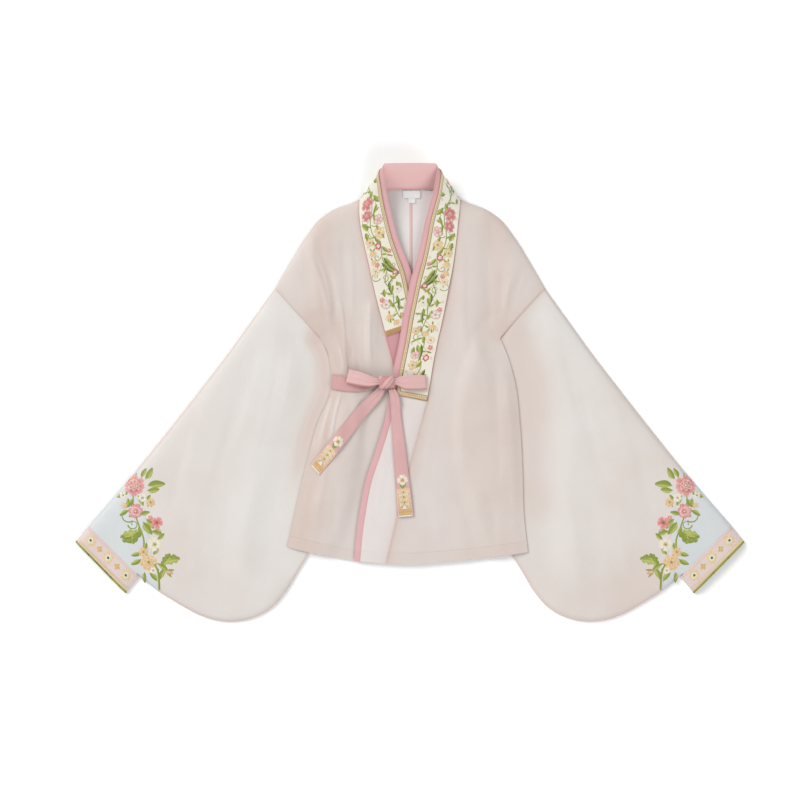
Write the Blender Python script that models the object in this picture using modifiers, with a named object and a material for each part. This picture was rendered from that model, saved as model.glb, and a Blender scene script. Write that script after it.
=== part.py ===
"""A short Ming-style jacket with wide pipa sleeves, laid flat with its front up.

+X is the wearer's left, +Y is towards the neck and +Z is up from the surface that the jacket
lies on. Tables and sizes are in millimetres, and meshes are written in metres. "out" is the
distance from the centre line and "up" the distance above the middle of the laid jacket.
"""

import math
from collections import namedtuple

import bmesh
import bpy
import numpy as np

MM = 0.001

# Wall thicknesses.
CLOTH = 1.2
COLLAR_CLOTH = 1.6
BAND_CLOTH = 1.0
BRAID_CLOTH = 1.3
RIBBON_CLOTH = 1.0
LABEL_CLOTH = 1.0

# Gaps between pieces.
SEAM_GAP = 0.3
COLLAR_SEAM_GAP = 0.8
GORE_GAP = 0.7
LAYER_GAP = 1.2
LAY_GAP = 0.7

# How the cloth lies.
FOLD_RADIUS = 2.0
FLAT_TUBE = 2 * FOLD_RADIUS
BODY_LIFT = FLAT_TUBE + 0.5
LIFT_RUN = 28.0
LIFT_SPARE = 18.0
FRONT_LOFT = 5.5
HEM_LOFT = 0.35
HEM_RUN = 120.0
SLEEVE_LOFT = 6.0
EDGE_ROUND = 16.0
SHOULDER_ROUND = 26.0
SLEEVE_START = 24.0
SLEEVE_RISE = 70.0
PINCH_RUN = 60.0
UNDER_FLAP_RUN = 62.0
FLAP_STEP = 3.4
FLAP_STEP_RUN = 30.0
FLAP_STEP_TOP = 235.0
SIDE_PANEL = 2 * CLOTH + LAYER_GAP

# Strips along the collar, as shares of its width from the seam to the free edge.
COLLAR_SHARES = (0, 0.245, 0.49, 0.735, 0.825, 1)
BAND_SHARES = (0.012, 0.245, 0.49, 0.727)
BRAID_SHARES = (0.747, 0.825)
FRONT_EDGE = 11.0

# Outlines that both halves share. Columns: out, up.
SHOULDER = [(88, 348), (108, 340), (139, 328), (166, 308), (184, 285), (199, 263), (212, 241),
            (225, 219), (237, 198), (243, 187)]
SLEEVE_TOP = [(243, 187), (281, 134), (328, 69), (378, 4), (428, -60), (480, -125), (489, -136)]
SLEEVE_END_TOP = [(489, -136), (535, -190), (578, -239.5)]
SLEEVE_FOOT = [(154, 89), (138, 50), (124, 10), (118, -50), (122, -120), (136, -190),
               (158, -250), (182.5, -291), (200, -319.5), (226, -362), (245, -384),
               (267, -399), (293, -408.5), (324, -412.3), (355, -408.5), (382, -399),
               (410, -384), (453, -358)]
SLEEVE_END_FOOT = [(453, -358), (473, -342), (486, -331)]
CUFF_TOP = [(578, -239.5), (602, -269)]
CUFF_FOOT = [(486, -331), (511, -361.5)]
UNDERARM = (162, 98)
HIDDEN_POINTS = 8

# Side edges from the underarm to the hem, pinched in at the waist on the wearer's right, where
# the tie pulls. Columns: out, up.
SIDE_EDGE = {
    1: [UNDERARM, (178, 58), (189, 17), (198, -60), (202, -134), (205, -224), (212, -287)],
    -1: [UNDERARM, (148, 72), (143.5, 50), (142, 31), (142.5, 3), (151, -22), (164, -50),
         (182, -112), (198, -175), (212, -238), (221, -278)],
}

# The hem across both halves. Columns: x, y.
HEM = [(-221, -278), (-182, -287), (-144, -294.5), (-101, -303), (-43, -308), (2, -309),
       (54, -305.5), (112, -300), (182, -291.5), (212, -287)]

# The collar's sections, from its end on the wearer's left round the neck to its end on the
# right. Columns: x and y at the seam, its height there where the collar has left the front
# panels or None where it lies level with them, then x, y and height at the free edge.
Section = namedtuple("Section", "seam_x seam_y seam_z edge_x edge_y edge_z")
LEFT_SECTIONS = [
    Section(31.1, -15.3, None, -36.9, -1.8, 9.6),
    Section(36.5, 15.3, None, -33.3, 22.5, 9.6),
    Section(42.3, 51.3, None, -27.0, 54.9, 9.8),
    Section(49.7, 89.1, None, -19.8, 89.1, 10.2),
    Section(58.0, 125.1, None, -13.3, 132.3, 10.6),
    Section(65.3, 161.1, None, -6.3, 166.5, 11.0),
    Section(71.6, 194.4, None, 2.2, 205.2, 11.6),
    Section(77.9, 227.7, None, 11.2, 236.7, 12.6),
    Section(82.8, 263.7, None, 19.8, 272.7, 14.0),
    Section(86.0, 296.1, None, 28.1, 312.3, 17.0),
    Section(88.2, 319.5, None, 35.3, 336.6, 22.5),
    Section(89.3, 333.9, 7.6, 42.3, 361.8, 31.0),
    Section(88.9, 344.7, 5.6, 46.2, 384.0, 39.6),
    Section(85.6, 350.6, 3.6, 47.6, 400.0, 45.0),
    Section(75.6, 355.6, 2.5, 42.0, 408.6, 46.6),
    Section(57.6, 361.9, 2.1, 31.0, 411.0, 46.9),
    Section(36.0, 365.0, 2.1, 18.0, 411.8, 47.0),
]
CENTRE_SECTION = Section(0.0, 366.2, 2.1, 0.0, 412.0, 47.0)
RIGHT_SECTIONS = [
    Section(-36.0, 365.0, 2.1, -18.0, 411.8, 47.0),
    Section(-57.6, 361.9, 2.1, -31.0, 411.0, 46.9),
    Section(-75.6, 355.6, 2.5, -42.0, 408.6, 46.6),
    Section(-85.8, 350.6, 3.6, -47.4, 400.0, 45.0),
    Section(-89.3, 344.7, 5.6, -46.2, 384.0, 39.6),
    Section(-90.7, 333.9, 7.6, -43.6, 367.2, 31.0),
    Section(-91.1, 317.7, None, -39.2, 344.7, 23.0),
    Section(-88.9, 296.1, None, -33.1, 319.5, 17.0),
    Section(-82.4, 263.7, None, -23.4, 282.6, 12.0),
    Section(-74.9, 229.5, None, -11.2, 250.2, 8.6),
    Section(-67.7, 195.3, None, 0.9, 220.5, 6.4),
    Section(-59.4, 161.1, None, 8.3, 186.3, 5.4),
    Section(-50.4, 126.9, None, 15.8, 150.3, 5.0),
    Section(-41.4, 92.7, None, 23.4, 114.3, 4.9),
    Section(-32.4, 58.5, None, 31.0, 78.3, 4.9),
    Section(-23.4, 24.3, None, 38.2, 42.3, 4.9),
    Section(-14.4, -9.9, None, 45.0, 6.3, 4.9),
]
COLLAR_SECTIONS = LEFT_SECTIONS + [CENTRE_SECTION] + RIGHT_SECTIONS
RIGHT_BAND_END = 100.0
COLLAR_ROW = 20.0
TURN_ROW = 6.5
TURN_FROM, TURN_TO = 10, 15
COLLAR_RAISED = 0.2
COLLAR_TOP_AT_TIE = 11.4

# The overlap gores, from the collar's ends to the hem. Columns: x, y.
LEFT_GORE_SEAM = [(31.1, -16.0), (19.6, -55), (3.9, -112), (-24.5, -228), (-43.4, -308)]
LEFT_FREE_EDGE = [(-36.9, -2.5), (-45.5, -50), (-62, -105), (-79.6, -158), (-90, -211),
                  (-96.5, -256), (-100.5, -303)]
RIGHT_GORE_SEAM = [(-14.4, -10.7), (6, -90), (22, -190), (39.6, -307)]
RIGHT_FREE_EDGE = [(45.0, 5.5), (62, -70), (80, -180), (97, -301)]

# Rows and columns of the body halves. The row at BODY_CORNER's share of the way up meets the
# underarm, and the one at BACK_NECK's share meets the back neckline.
BODY_ROWS = 15
BODY_TOP_ROWS = 8
BODY_COLUMNS = 13
BODY_CORNER = 0.62
BACK_NECK = BODY_CORNER + (1 - BODY_CORNER) * 5 / 7
BACK_NECK_TOP = 365.2
BODY_SIDE_OF_SEAM = np.array([0.11, -0.1])

SLEEVE_COLUMNS = 12

# A quarter turn and its halves, as shares of the fold's radius.
FOLD_STEPS = [(0.293, 1.707), (0, 1), (0.293, 0.293)]
CUFF_SPLIT = np.array([0, 0.905, 1])

# Soft folds in the fronts and sleeves. Columns: ends of the fold's line, half width, height.
Fold = namedtuple("Fold", "x0 y0 x1 y1 width height")
RIGHT_FRONT_FOLDS = [
    Fold(-68, 150, -67, 62, 12, 3.2),
    Fold(-126, 104, -119, 56, 11, 3.0),
    Fold(-98, 120, -92, 50, 11, -1.4),
    Fold(-140, -28, -168, -96, 12, 3.4),
    Fold(-118, -30, -139, -110, 11, 3.2),
    Fold(-73, -60, -69, -112, 18, -2.2),
    Fold(-112, -120, -109, -296, 22, 2.6),
    Fold(-176, 272, -160, 128, 11, 2.8),
    Fold(-150, 262, -138, 128, 15, 2.2),
    Fold(-165, -200, -178, -284, 14, 2.2),
]
LEFT_FRONT_FOLDS = [
    Fold(104, 292, 118, -50, 27, 2.4),
    Fold(148, 300, 160, 0, 16, -2.2),
    Fold(186, 222, 176, 126, 15, 2.0),
    Fold(176, 40, 192, -190, 13, 2.2),
    Fold(122, -190, 127, -300, 17, 2.8),
    Fold(67, -200, 72, -302, 15, -2.0),
    Fold(10, -215, 14, -306, 15, 2.4),
]
SLEEVE_FOLDS = [
    Fold(232, 90, 300, -300, 34, 3.0),
    Fold(196, 70, 232, -250, 14, 2.4),
    Fold(330, 0, 400, -250, 46, 2.4),
    Fold(275, 60, 262, -120, 20, -1.6),
]

# The tie, with the wearer's-right end sewn into the side seam. Each ribbon's columns: x and y
# of one edge, x and y of the other, and the height of its upper face over what it crosses.
Ribbon = namedtuple("Ribbon", "x0 y0 x1 y1 over")
TIE_SIDE = [
    Ribbon(-138.4, 31.8, -143.0, 6.8, 2.4),
    Ribbon(-126.0, 30.2, -128.0, 3.6, 2.6),
    Ribbon(-110.0, 27.4, -110.0, 1.6, 2.6),
    Ribbon(-93.0, 24.6, -92.0, 1.0, 2.6),
    Ribbon(-75.0, 23.6, -72.0, 5.4, 2.8),
    Ribbon(-62.5, 23.4, -58.5, 12.0, 3.0),
]
LEFT_TAIL = [
    Ribbon(-55.5, 12.0, -44.5, 4.0, 5.6),
    Ribbon(-63.5, 3.0, -50.0, -8.0, 4.2),
    Ribbon(-87.0, -18.0, -71.0, -34.0, 2.4),
    Ribbon(-117.7, -54.9, -101.5, -72.7, 2.2),
    Ribbon(-144.9, -88.7, -127.0, -105.0, 3.4),
    Ribbon(-163.0, -111.5, -146.0, -128.4, 2.2),
    Ribbon(-178.7, -130.5, -162.6, -148.5, 1.9),
]
RIGHT_TAIL = [
    Ribbon(-38.5, 4.5, -26.5, 7.0, 5.2),
    Ribbon(-36.2, -6.0, -21.0, -3.0, 3.8),
    Ribbon(-34.2, -42.1, -16.0, -42.1, 2.3),
    Ribbon(-30.8, -98.1, -8.3, -98.1, 2.8),
    Ribbon(-26.6, -153.0, -1.6, -154.0, 2.1),
    Ribbon(-24.0, -190.0, 2.6, -190.0, 2.6),
    Ribbon(-21.6, -224.3, 6.2, -222.0, 1.9),
]
LEFT_LOOP = [
    Ribbon(-49.0, 23.4, -48.5, 14.0, 0),
    Ribbon(-61.0, 25.6, -59.0, 13.4, 0),
    Ribbon(-75.0, 31.6, -70.0, 10.4, 0),
    Ribbon(-92.0, 37.6, -90.0, 11.8, 0),
    Ribbon(-106.0, 40.8, -113.0, 16.4, 0),
]
RIGHT_LOOP = [
    Ribbon(-34.0, 23.4, -34.0, 14.0, 0),
    Ribbon(-24.0, 25.6, -23.0, 12.6, 0),
    Ribbon(-13.0, 29.6, -13.0, 6.4, 0),
    Ribbon(6.0, 31.6, 6.0, 4.6, 0),
    Ribbon(25.4, 31.2, 27.0, 5.4, 0),
]
TIE_LINE = [(-143, 20), (-110, 14), (-60, 17)]
TIE_PRESS = 0.85
TIE_PRESS_RUN = 38.0
LOOP_MIDDLES = (17.4, 17.3, 16.6, 15.9, 15.2)
LOOP_HALVES = (3.6, 3.8, 4.2, 3.8, 2.8)
KNOT_CENTRE = (-41.5, 18.2, 17.4)
KNOT_RINGS = [(-13.4, 9.8, 5.6), (-7.5, 11.2, 6.5), (0, 11.0, 6.3), (7.5, 11.3, 6.5),
              (13.4, 10.0, 5.7)]
KNOT_SQUARE = 2.6

NECK_LABEL = (-12.5, 349.5, 18.5, 363.0)
SIZE_LABEL = (-3.0, 341.0, 9.5, 349.2)
LABEL_CLEAR = 0.4

Paint = namedtuple("Paint", "colour roughness")
PAINTS = {
    "pale_cloth": Paint((0.80, 0.71, 0.67), 0.5),
    "light_cloth": Paint((0.86, 0.78, 0.76), 0.5),
    "white_cloth": Paint((0.80, 0.83, 0.84), 0.5),
    "rose_cloth": Paint((0.72, 0.40, 0.40), 0.55),
    "cream_silk": Paint((0.82, 0.77, 0.64), 0.5),
    "gold_braid": Paint((0.72, 0.55, 0.26), 0.45),
    "cuff_silk": Paint((0.78, 0.64, 0.60), 0.55),
    "olive_binding": Paint((0.42, 0.40, 0.08), 0.5),
    "label_satin": Paint((0.92, 0.93, 0.93), 0.45),
}


def ease(t):
    """0 below 0, 1 above 1, and a smooth rise between."""
    t = np.clip(t, 0.0, 1.0)
    return t * t * (3 - 2 * t)


def bulge(t):
    """A quarter round: steep at 0 and level from 1 on."""
    return np.sqrt(1 - (1 - np.clip(t, 0.0, 1.0)) ** 2)


def along(table, t):
    """The smooth line through a table's points, read at the shares t of its length."""
    points = np.array(table, float)
    t = np.asarray(t, float)
    steps = np.linalg.norm(np.diff(points, axis=0), axis=1)
    marks = np.concatenate([[0.0], np.cumsum(steps)])
    slopes = np.diff(points, axis=0) / steps[:, None]
    tangents = np.empty_like(points)
    tangents[0], tangents[-1] = slopes[0], slopes[-1]
    near, far = steps[:-1, None], steps[1:, None]
    tangents[1:-1] = (far * slopes[:-1] + near * slopes[1:]) / (near + far)
    place = np.clip(t, 0, 1) * marks[-1]
    k = np.clip(np.searchsorted(marks, place, side="right") - 1, 0, len(steps) - 1)
    q = ((place - marks[k]) / steps[k])[..., None]
    h = steps[k][..., None]
    return (
        (1 + 2 * q) * (1 - q) ** 2 * points[k]
        + q * (1 - q) ** 2 * h * tangents[k]
        + q * q * (3 - 2 * q) * points[k + 1]
        + q * q * (q - 1) * h * tangents[k + 1]
    )


def joined(*tables):
    """One table from several that run on from each other, without the repeated points."""
    points = list(tables[0])
    for table in tables[1:]:
        points += list(table)[1:] if tuple(table[0]) == tuple(points[-1]) else list(table)
    return points


# The free edges of the two fronts, from the hem up to the neck.
LEFT_FREE_LINE = joined(LEFT_FREE_EDGE[::-1], [(s.edge_x, s.edge_y) for s in LEFT_SECTIONS[:12]])
RIGHT_FREE_LINE = joined(RIGHT_FREE_EDGE[::-1],
                         [(s.edge_x, s.edge_y) for s in RIGHT_SECTIONS[:6:-1]])


def distance(x, y, table):
    """How far each point lies from the broken line through a table's points."""
    line = np.array(table, float)
    best = np.full(np.shape(x), np.inf)
    for (ax, ay), (bx, by) in zip(line[:-1], line[1:]):
        dx, dy = bx - ax, by - ay
        t = np.clip(((x - ax) * dx + (y - ay) * dy) / (dx * dx + dy * dy), 0, 1)
        best = np.minimum(best, np.hypot(x - ax - t * dx, y - ay - t * dy))
    return best


def inside(x, y, table):
    """True where a point lies within the closed outline through a table's points."""
    line = np.array(table, float)
    found = np.zeros(np.shape(x), bool)
    for (ax, ay), (bx, by) in zip(line, np.roll(line, -1, axis=0)):
        crosses = (ay > y) != (by > y)
        reach = ax + (bx - ax) * (y - ay) / np.where(by == ay, 1e-9, by - ay)
        found ^= crosses & (x < reach)
    return found


def folds_at(x, y, folds):
    """The height that a list of soft folds adds at each point."""
    total = np.zeros(np.shape(x))
    for fold in folds:
        away = distance(x, y, [(fold.x0, fold.y0), (fold.x1, fold.y1)])
        total = total + fold.height * np.exp(-((away / fold.width) ** 2))
    return total


def hem_line(x):
    """The hem's y at each x."""
    line = along(HEM, np.linspace(0, 1, 60))
    return np.interp(x, line[:, 0], line[:, 1])


HIDDEN_EDGE = [UNDERARM] + SLEEVE_FOOT[:HIDDEN_POINTS]
HIDDEN_PART = HIDDEN_EDGE + [(320, -291), (320, 98)]


def back_height(x, y, side):
    """The back's underside: on the surface, and raised where a sleeve lies under it."""
    out = side * x
    away = distance(out, y, HIDDEN_EDGE)
    away = np.where(inside(out, y, HIDDEN_PART), away, -away)
    return BODY_LIFT * ease((away + LIFT_SPARE + LIFT_RUN) / LIFT_RUN)


def outside_body(out, y, side):
    """How far a sleeve's point lies outside the body's side edge and hem."""
    hem = sorted(((side * hx, hy) for hx, hy in HEM if 100 < side * hx), reverse=True)
    edge = joined(SIDE_EDGE[side], hem[1:])
    away = distance(out, y, edge)
    return np.where(inside(out, y, edge + [(0, -305), (0, 98)]), -away, away)


def sleeve_height(out, y, side, foot_line):
    """The sleeve's upper face: low beside and under the body, and lofted further out."""
    rise = ease((outside_body(out, y, side) - SLEEVE_START) / SLEEVE_RISE)
    top = distance(out, y, joined(SLEEVE_TOP, SLEEVE_END_TOP, CUFF_TOP)) - FOLD_RADIUS
    foot = distance(out, y, foot_line) - FOLD_RADIUS
    rounding = bulge(top / SHOULDER_ROUND) * bulge(foot / SHOULDER_ROUND)
    loft = SLEEVE_LOFT + folds_at(out, y, SLEEVE_FOLDS)
    return FLAT_TUBE + np.maximum(loft, 0) * rise * rounding


def body_edges(x, y, side):
    """How much of the loft is left near the shoulder, side edge, underarm and hem."""
    out = side * x
    shoulder = distance(out, y, SHOULDER) - FOLD_RADIUS
    sides = distance(out, y, SIDE_EDGE[side])
    pinch = ease(np.hypot(out - UNDERARM[0], y - UNDERARM[1]) / PINCH_RUN)
    hem = HEM_LOFT + (1 - HEM_LOFT) * ease((y - hem_line(x)) / HEM_RUN)
    return bulge(shoulder / SHOULDER_ROUND) * bulge(sides / EDGE_ROUND) * pinch * hem


def beside(x, y, table):
    """How far each point lies to the wearer's left of a line that runs down the front."""
    line = np.array(table, float)
    order = np.argsort(line[:, 1])
    return x - np.interp(y, line[order, 1], line[order, 0])


def right_front_height(x, y):
    """The inner front's upper face. It flattens where the outer front lies over it, and where
    the tie presses on it."""
    base = back_height(x, y, -1) + SIDE_PANEL
    uncovered = ease(-beside(x, y, LEFT_FREE_LINE) / UNDER_FLAP_RUN)
    pressed = 1 - TIE_PRESS * np.exp(-(distance(x, y, TIE_LINE) / TIE_PRESS_RUN) ** 2)
    loft = FRONT_LOFT + folds_at(x, y, RIGHT_FRONT_FOLDS)
    return base + np.maximum(loft, 0) * uncovered * pressed * body_edges(x, y, -1)


def left_front_height(x, y):
    """The outer front's upper face, a step up where the inner front lies under it."""
    base = back_height(x, y, 1) + SIDE_PANEL
    over = ease(1 - beside(x, y, RIGHT_FREE_LINE) / FLAP_STEP_RUN)
    over = over * ease((FLAP_STEP_TOP - y) / PINCH_RUN)
    edge = bulge((beside(x, y, LEFT_FREE_LINE) + 6) / 60)
    loft = FRONT_LOFT + folds_at(x, y, LEFT_FRONT_FOLDS)
    loft = np.maximum(loft, 0) * (1 - 0.55 * over) * edge * body_edges(x, y, 1)
    return base + FLAP_STEP * over + loft


def coons(bottom, top, inner, outer, u, v):
    """The patch between four boundary lines, each read at rows or columns of points."""
    u, v = u[None, :, None], v[:, None, None]
    corners = (
        (1 - u) * (1 - v) * bottom[0]
        + u * (1 - v) * bottom[-1]
        + (1 - u) * v * top[0]
        + u * v * top[-1]
    )
    sides = (1 - u) * inner[:, None] + u * outer[:, None]
    return (1 - v) * bottom[None] + v * top[None] + sides - corners


def material(name):
    """The material of that name, made the first time that it is asked for."""
    found = bpy.data.materials.get(name)
    if found:
        return found
    made = bpy.data.materials.new(name)
    made.use_nodes = True
    shader = made.node_tree.nodes["Principled BSDF"]
    shader.inputs["Base Color"].default_value = (*PAINTS[name].colour, 1)
    shader.inputs["Roughness"].default_value = PAINTS[name].roughness
    shader.inputs["Metallic"].default_value = 0
    return made


def sheet(name, points, paint, thickness, ring=False):
    """A sheet of cloth that hangs below its outer face. points is an array of rows by columns
    by x, y and z, and the outer face is the one from which its rows turn left from its
    columns. A ring's last column is its first again."""
    rows, columns = points.shape[:2]
    mesh = bpy.data.meshes.new(name)
    grid = bmesh.new()
    bmesh.ops.create_grid(grid, x_segments=columns - 1, y_segments=rows - 1, size=1)
    grid.verts.ensure_lookup_table()
    for vertex, place in zip(grid.verts, points.reshape(-1, 3)):
        vertex.co = place * MM
    if ring:
        bmesh.ops.remove_doubles(grid, verts=grid.verts, dist=1e-7)
    bmesh.ops.triangulate(grid, faces=grid.faces, quad_method="FIXED")
    grid.to_mesh(mesh)
    grid.free()
    mesh.shade_smooth()
    mesh.materials.append(material(paint))
    made = bpy.data.objects.new(name, mesh)
    wall = made.modifiers.new("wall", "SOLIDIFY")
    wall.thickness = thickness * MM
    wall.offset = -1
    bpy.data.collections["hanfu_jacket"].objects.link(made)
    return made


def with_height(plan, heights):
    """Plan points with a height each."""
    heights = np.broadcast_to(heights, plan.shape[:-1])
    return np.concatenate([plan, heights[..., None]], axis=-1)


def upright(points):
    """The same sheet with its outer face up."""
    across = points[0, -1] - points[0, 0]
    down = points[-1, 0] - points[0, 0]
    return points if across[0] * down[1] > across[1] * down[0] else points[:, ::-1]


def offset_line(line, amount):
    """A line of plan points moved to its right as it runs."""
    runs = np.gradient(line, axis=0)
    runs = runs / np.linalg.norm(runs, axis=1)[:, None]
    return line + amount * np.stack([runs[:, 1], -runs[:, 0]], axis=1)


def body_half(name, side, inner_front, neck_end):
    """Half the body: one length of cloth, up the front, over the shoulder and down the back."""
    rows = np.concatenate([
        np.linspace(0, BODY_CORNER, BODY_ROWS),
        np.linspace(BODY_CORNER, 1, BODY_TOP_ROWS)[1:],
    ])
    shares = np.linspace(0, 1, BODY_COLUMNS)
    top_share = np.clip((rows - BODY_CORNER) / (1 - BODY_CORNER), 0, 1)[:, None]

    sides = along(SIDE_EDGE[side], 1 - np.clip(rows / BODY_CORNER, 0, 1))
    armhole = (np.array(SHOULDER[-1], float) - UNDERARM) * top_share
    outer = sides + armhole - BODY_SIDE_OF_SEAM * (top_share > 0)
    outer = outer * [side, 1]
    shoulder = along([(abs(neck_end[0]), neck_end[1])] + SHOULDER[1:], shares)
    shoulder[-1] -= BODY_SIDE_OF_SEAM
    folded = {k: offset_line(shoulder, k * FOLD_RADIUS) * [side, 1] for k in (0, 0.293, 1)}

    def patch(inner, height):
        hem_x = np.linspace(inner[0, 0], outer[0, 0], BODY_COLUMNS)
        hem = np.stack([hem_x, hem_line(hem_x)], axis=1)
        inner, edge = inner.copy(), outer.copy()
        inner[0], edge[0] = hem[0], hem[-1]
        inner[-1], edge[-1] = folded[1][0], folded[1][-1]
        plan = coons(hem, folded[1], inner, edge, shares, rows)
        return with_height(plan, height(plan[..., 0], plan[..., 1]))

    front = patch(along(inner_front, rows), left_front_height if side > 0 else
                  right_front_height)
    front[-1, :, 2] = FLAT_TUBE
    bend = [
        with_height(folded[0.293], FOLD_RADIUS * 1.707),
        with_height(folded[0], FOLD_RADIUS),
        with_height(folded[0.293], FOLD_RADIUS * 0.293),
    ]
    gap = side * SEAM_GAP / 2
    centre = np.interp(rows, [0, BACK_NECK], [hem_line(gap), BACK_NECK_TOP])
    centre = np.stack([np.full(len(rows), gap), centre], axis=1)
    neckline = along([(gap, BACK_NECK_TOP), (side * 36, 364.0), (side * 62, 359.4), neck_end],
                     np.clip((rows - BACK_NECK) / (1 - BACK_NECK), 0, 1))
    inner_back = np.where((rows > BACK_NECK)[:, None], neckline, centre)
    back = patch(inner_back, lambda x, y: back_height(x, y, side))
    points = np.concatenate([front, np.array(bend), back[::-1]])
    return sheet(name, points if side > 0 else points[:, ::-1], "pale_cloth", CLOTH)


def tube(name, side, top, foot, foot_line, stations, paint, ends=(1.4, 1.4)):
    """A flattened tube between two folds, through rings from its first station to its last.
    Each end stands back from the line there by its share of the seam gap."""
    shares = np.linspace(0, 1, stations)
    if stations > 4:
        shares[[1, -2]] = 0.5 * shares[1], 1 - 0.5 * shares[1]
    heads, feet = along(top, shares), along(foot, shares)
    head_runs, foot_runs = np.gradient(heads, axis=0), np.gradient(feet, axis=0)
    for k, inward in ((0, 1), (-1, -1)):
        line = (feet[k] - heads[k]) / np.linalg.norm(feet[k] - heads[k])
        step = np.array([-line[1], line[0]]) * SEAM_GAP * ends[k] * inward
        heads[k], feet[k] = heads[k] + step, feet[k] + step
    rings = []
    for head, end, head_run, foot_run in zip(heads, feet, head_runs, foot_runs):
        span = np.linalg.norm(end - head)
        run = (end - head) / span
        slants = [abs(run[0] * r[1] - run[1] * r[0]) / np.hypot(*r) for r in (head_run, foot_run)]
        turn_in = [FOLD_RADIUS * (1.6 - 0.6 * slant) / max(slant, 0.18) for slant in slants]
        swing = (1 - np.cos(np.pi * np.linspace(0, 1, SLEEVE_COLUMNS))) / 2
        reach = turn_in[0] + (span - sum(turn_in)) * swing
        plan = head + run * reach[:, None]
        upper = sleeve_height(plan[:, 0], plan[:, 1], side, foot_line)
        upper[0], upper[-1] = FLAT_TUBE, FLAT_TUBE
        low_fold = [(span - turn_in[1] * a, FOLD_RADIUS * z) for a, z in FOLD_STEPS]
        high_fold = [(turn_in[0] * a, FOLD_RADIUS * z) for a, z in reversed(FOLD_STEPS)]
        ring = list(zip(reach, upper)) + low_fold + [(d, 0.0) for d in reach[::-1]]
        ring += high_fold + [(reach[0], upper[0])]
        rings.append([(*(head + run * d), z) for d, z in ring])
    points = np.array(rings) * [side, 1, 1]
    return sheet(name, points if side > 0 else points[:, ::-1], paint, CLOTH, ring=True)


def smooth_through(marks, points, places):
    """The smooth line through points that sit at given marks, read at other places."""
    points = np.array(points, float)
    steps = np.diff(marks)
    slopes = np.diff(points, axis=0) / steps[:, None]
    near, far = steps[:-1, None], steps[1:, None]
    tangents = np.empty_like(points)
    tangents[0], tangents[-1] = slopes[0], slopes[-1]
    tangents[1:-1] = (far * slopes[:-1] + near * slopes[1:]) / (near + far)
    k = np.clip(np.searchsorted(marks, places, side="right") - 1, 0, len(steps) - 1)
    q = ((places - marks[k]) / steps[k])[..., None]
    h = steps[k][..., None]
    return (
        (1 + 2 * q) * (1 - q) ** 2 * points[k]
        + q * (1 - q) ** 2 * h * tangents[k]
        + q * q * (3 - 2 * q) * points[k + 1]
        + q * q * (q - 1) * h * tangents[k + 1]
    )


def collar_lines():
    """The collar's seam line and free edge at evenly spaced rows along its whole length."""
    seam, edge = [], []
    for k, s in enumerate(COLLAR_SECTIONS):
        z = s.seam_z
        if z is None:
            front = left_front_height if k < len(LEFT_SECTIONS) else right_front_height
            z = float(front(np.array(s.seam_x), np.array(s.seam_y))) + COLLAR_RAISED
        seam.append((s.seam_x, s.seam_y, z))
        edge.append((s.edge_x, s.edge_y, s.edge_z))
    middle = (np.array(seam) + np.array(edge)) / 2
    marks = np.concatenate([[0], np.cumsum(np.linalg.norm(np.diff(middle, axis=0), axis=1))])
    last = len(marks) - 2
    places = [0]
    for k in range(last + 1):
        turning = TURN_FROM <= min(k, last - k) < TURN_TO
        count = math.ceil((marks[k + 1] - marks[k]) / (TURN_ROW if turning else COLLAR_ROW))
        places += list(np.linspace(marks[k], marks[k + 1], count + 1)[1:])
    places = np.array(places)
    return smooth_through(marks, seam, places), smooth_through(marks, edge, places)


def collar_strip(name, rows, shares, lift, thickness, paint):
    """A strip along the collar through shares of its width, with its outer face lifted."""
    seam, edge = collar_lines()
    inset = (edge - seam) / np.linalg.norm(edge - seam, axis=1)[:, None]
    seam = seam + inset * COLLAR_SEAM_GAP
    share = np.array(shares[::-1], float)[None, :, None]
    points = seam[:, None] * (1 - share) + edge[:, None] * share
    down_seam, down_edge = np.gradient(seam, axis=0), np.gradient(edge, axis=0)
    runs = down_seam[:, None] * (1 - share) + down_edge[:, None] * share
    out = np.cross(runs, (edge - seam)[:, None])
    out = out / np.linalg.norm(out, axis=2)[..., None]
    points = (points + out * lift)[rows]
    return sheet(name, points, paint, thickness)


def flat_strip(name, first, second, rows, columns, height, paint, thickness):
    """A strip of cloth between two lines in plan, at the height of what it is part of."""
    shares = np.linspace(0, 1, rows)
    first, second = along(first, shares), along(second, shares)
    share = np.linspace(0, 1, columns)[None, :, None]
    plan = first[:, None] * (1 - share) + second[:, None] * share
    points = with_height(plan, height(plan[..., 0], plan[..., 1]))
    return sheet(name, upright(points), paint, thickness)


def under_tie_right(x, y):
    """What the tie lies on to the wearer's left of the knot: the collar, then the front."""
    collar = COLLAR_TOP_AT_TIE * ease((y + 52) / 34)
    return np.maximum(left_front_height(x, y) + 0.6, collar)


def ribbon(name, table, under, rows, columns, paint="rose_cloth"):
    """A ribbon over what it crosses, through a table of its two edges."""
    first = along([(r.x0, r.y0) for r in table], np.linspace(0, 1, rows))
    second = along([(r.x1, r.y1) for r in table], np.linspace(0, 1, rows))
    share = np.linspace(0, 1, columns)[None, :, None]
    plan = first[:, None] * (1 - share) + second[:, None] * share
    over = np.interp(np.linspace(0, 1, rows), np.linspace(0, 1, len(table)),
                     [r.over for r in table])
    heights = under(plan[..., 0], plan[..., 1]) + over[:, None]
    return sheet(name, upright(with_height(plan, heights)), paint, RIBBON_CLOTH)


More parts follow.
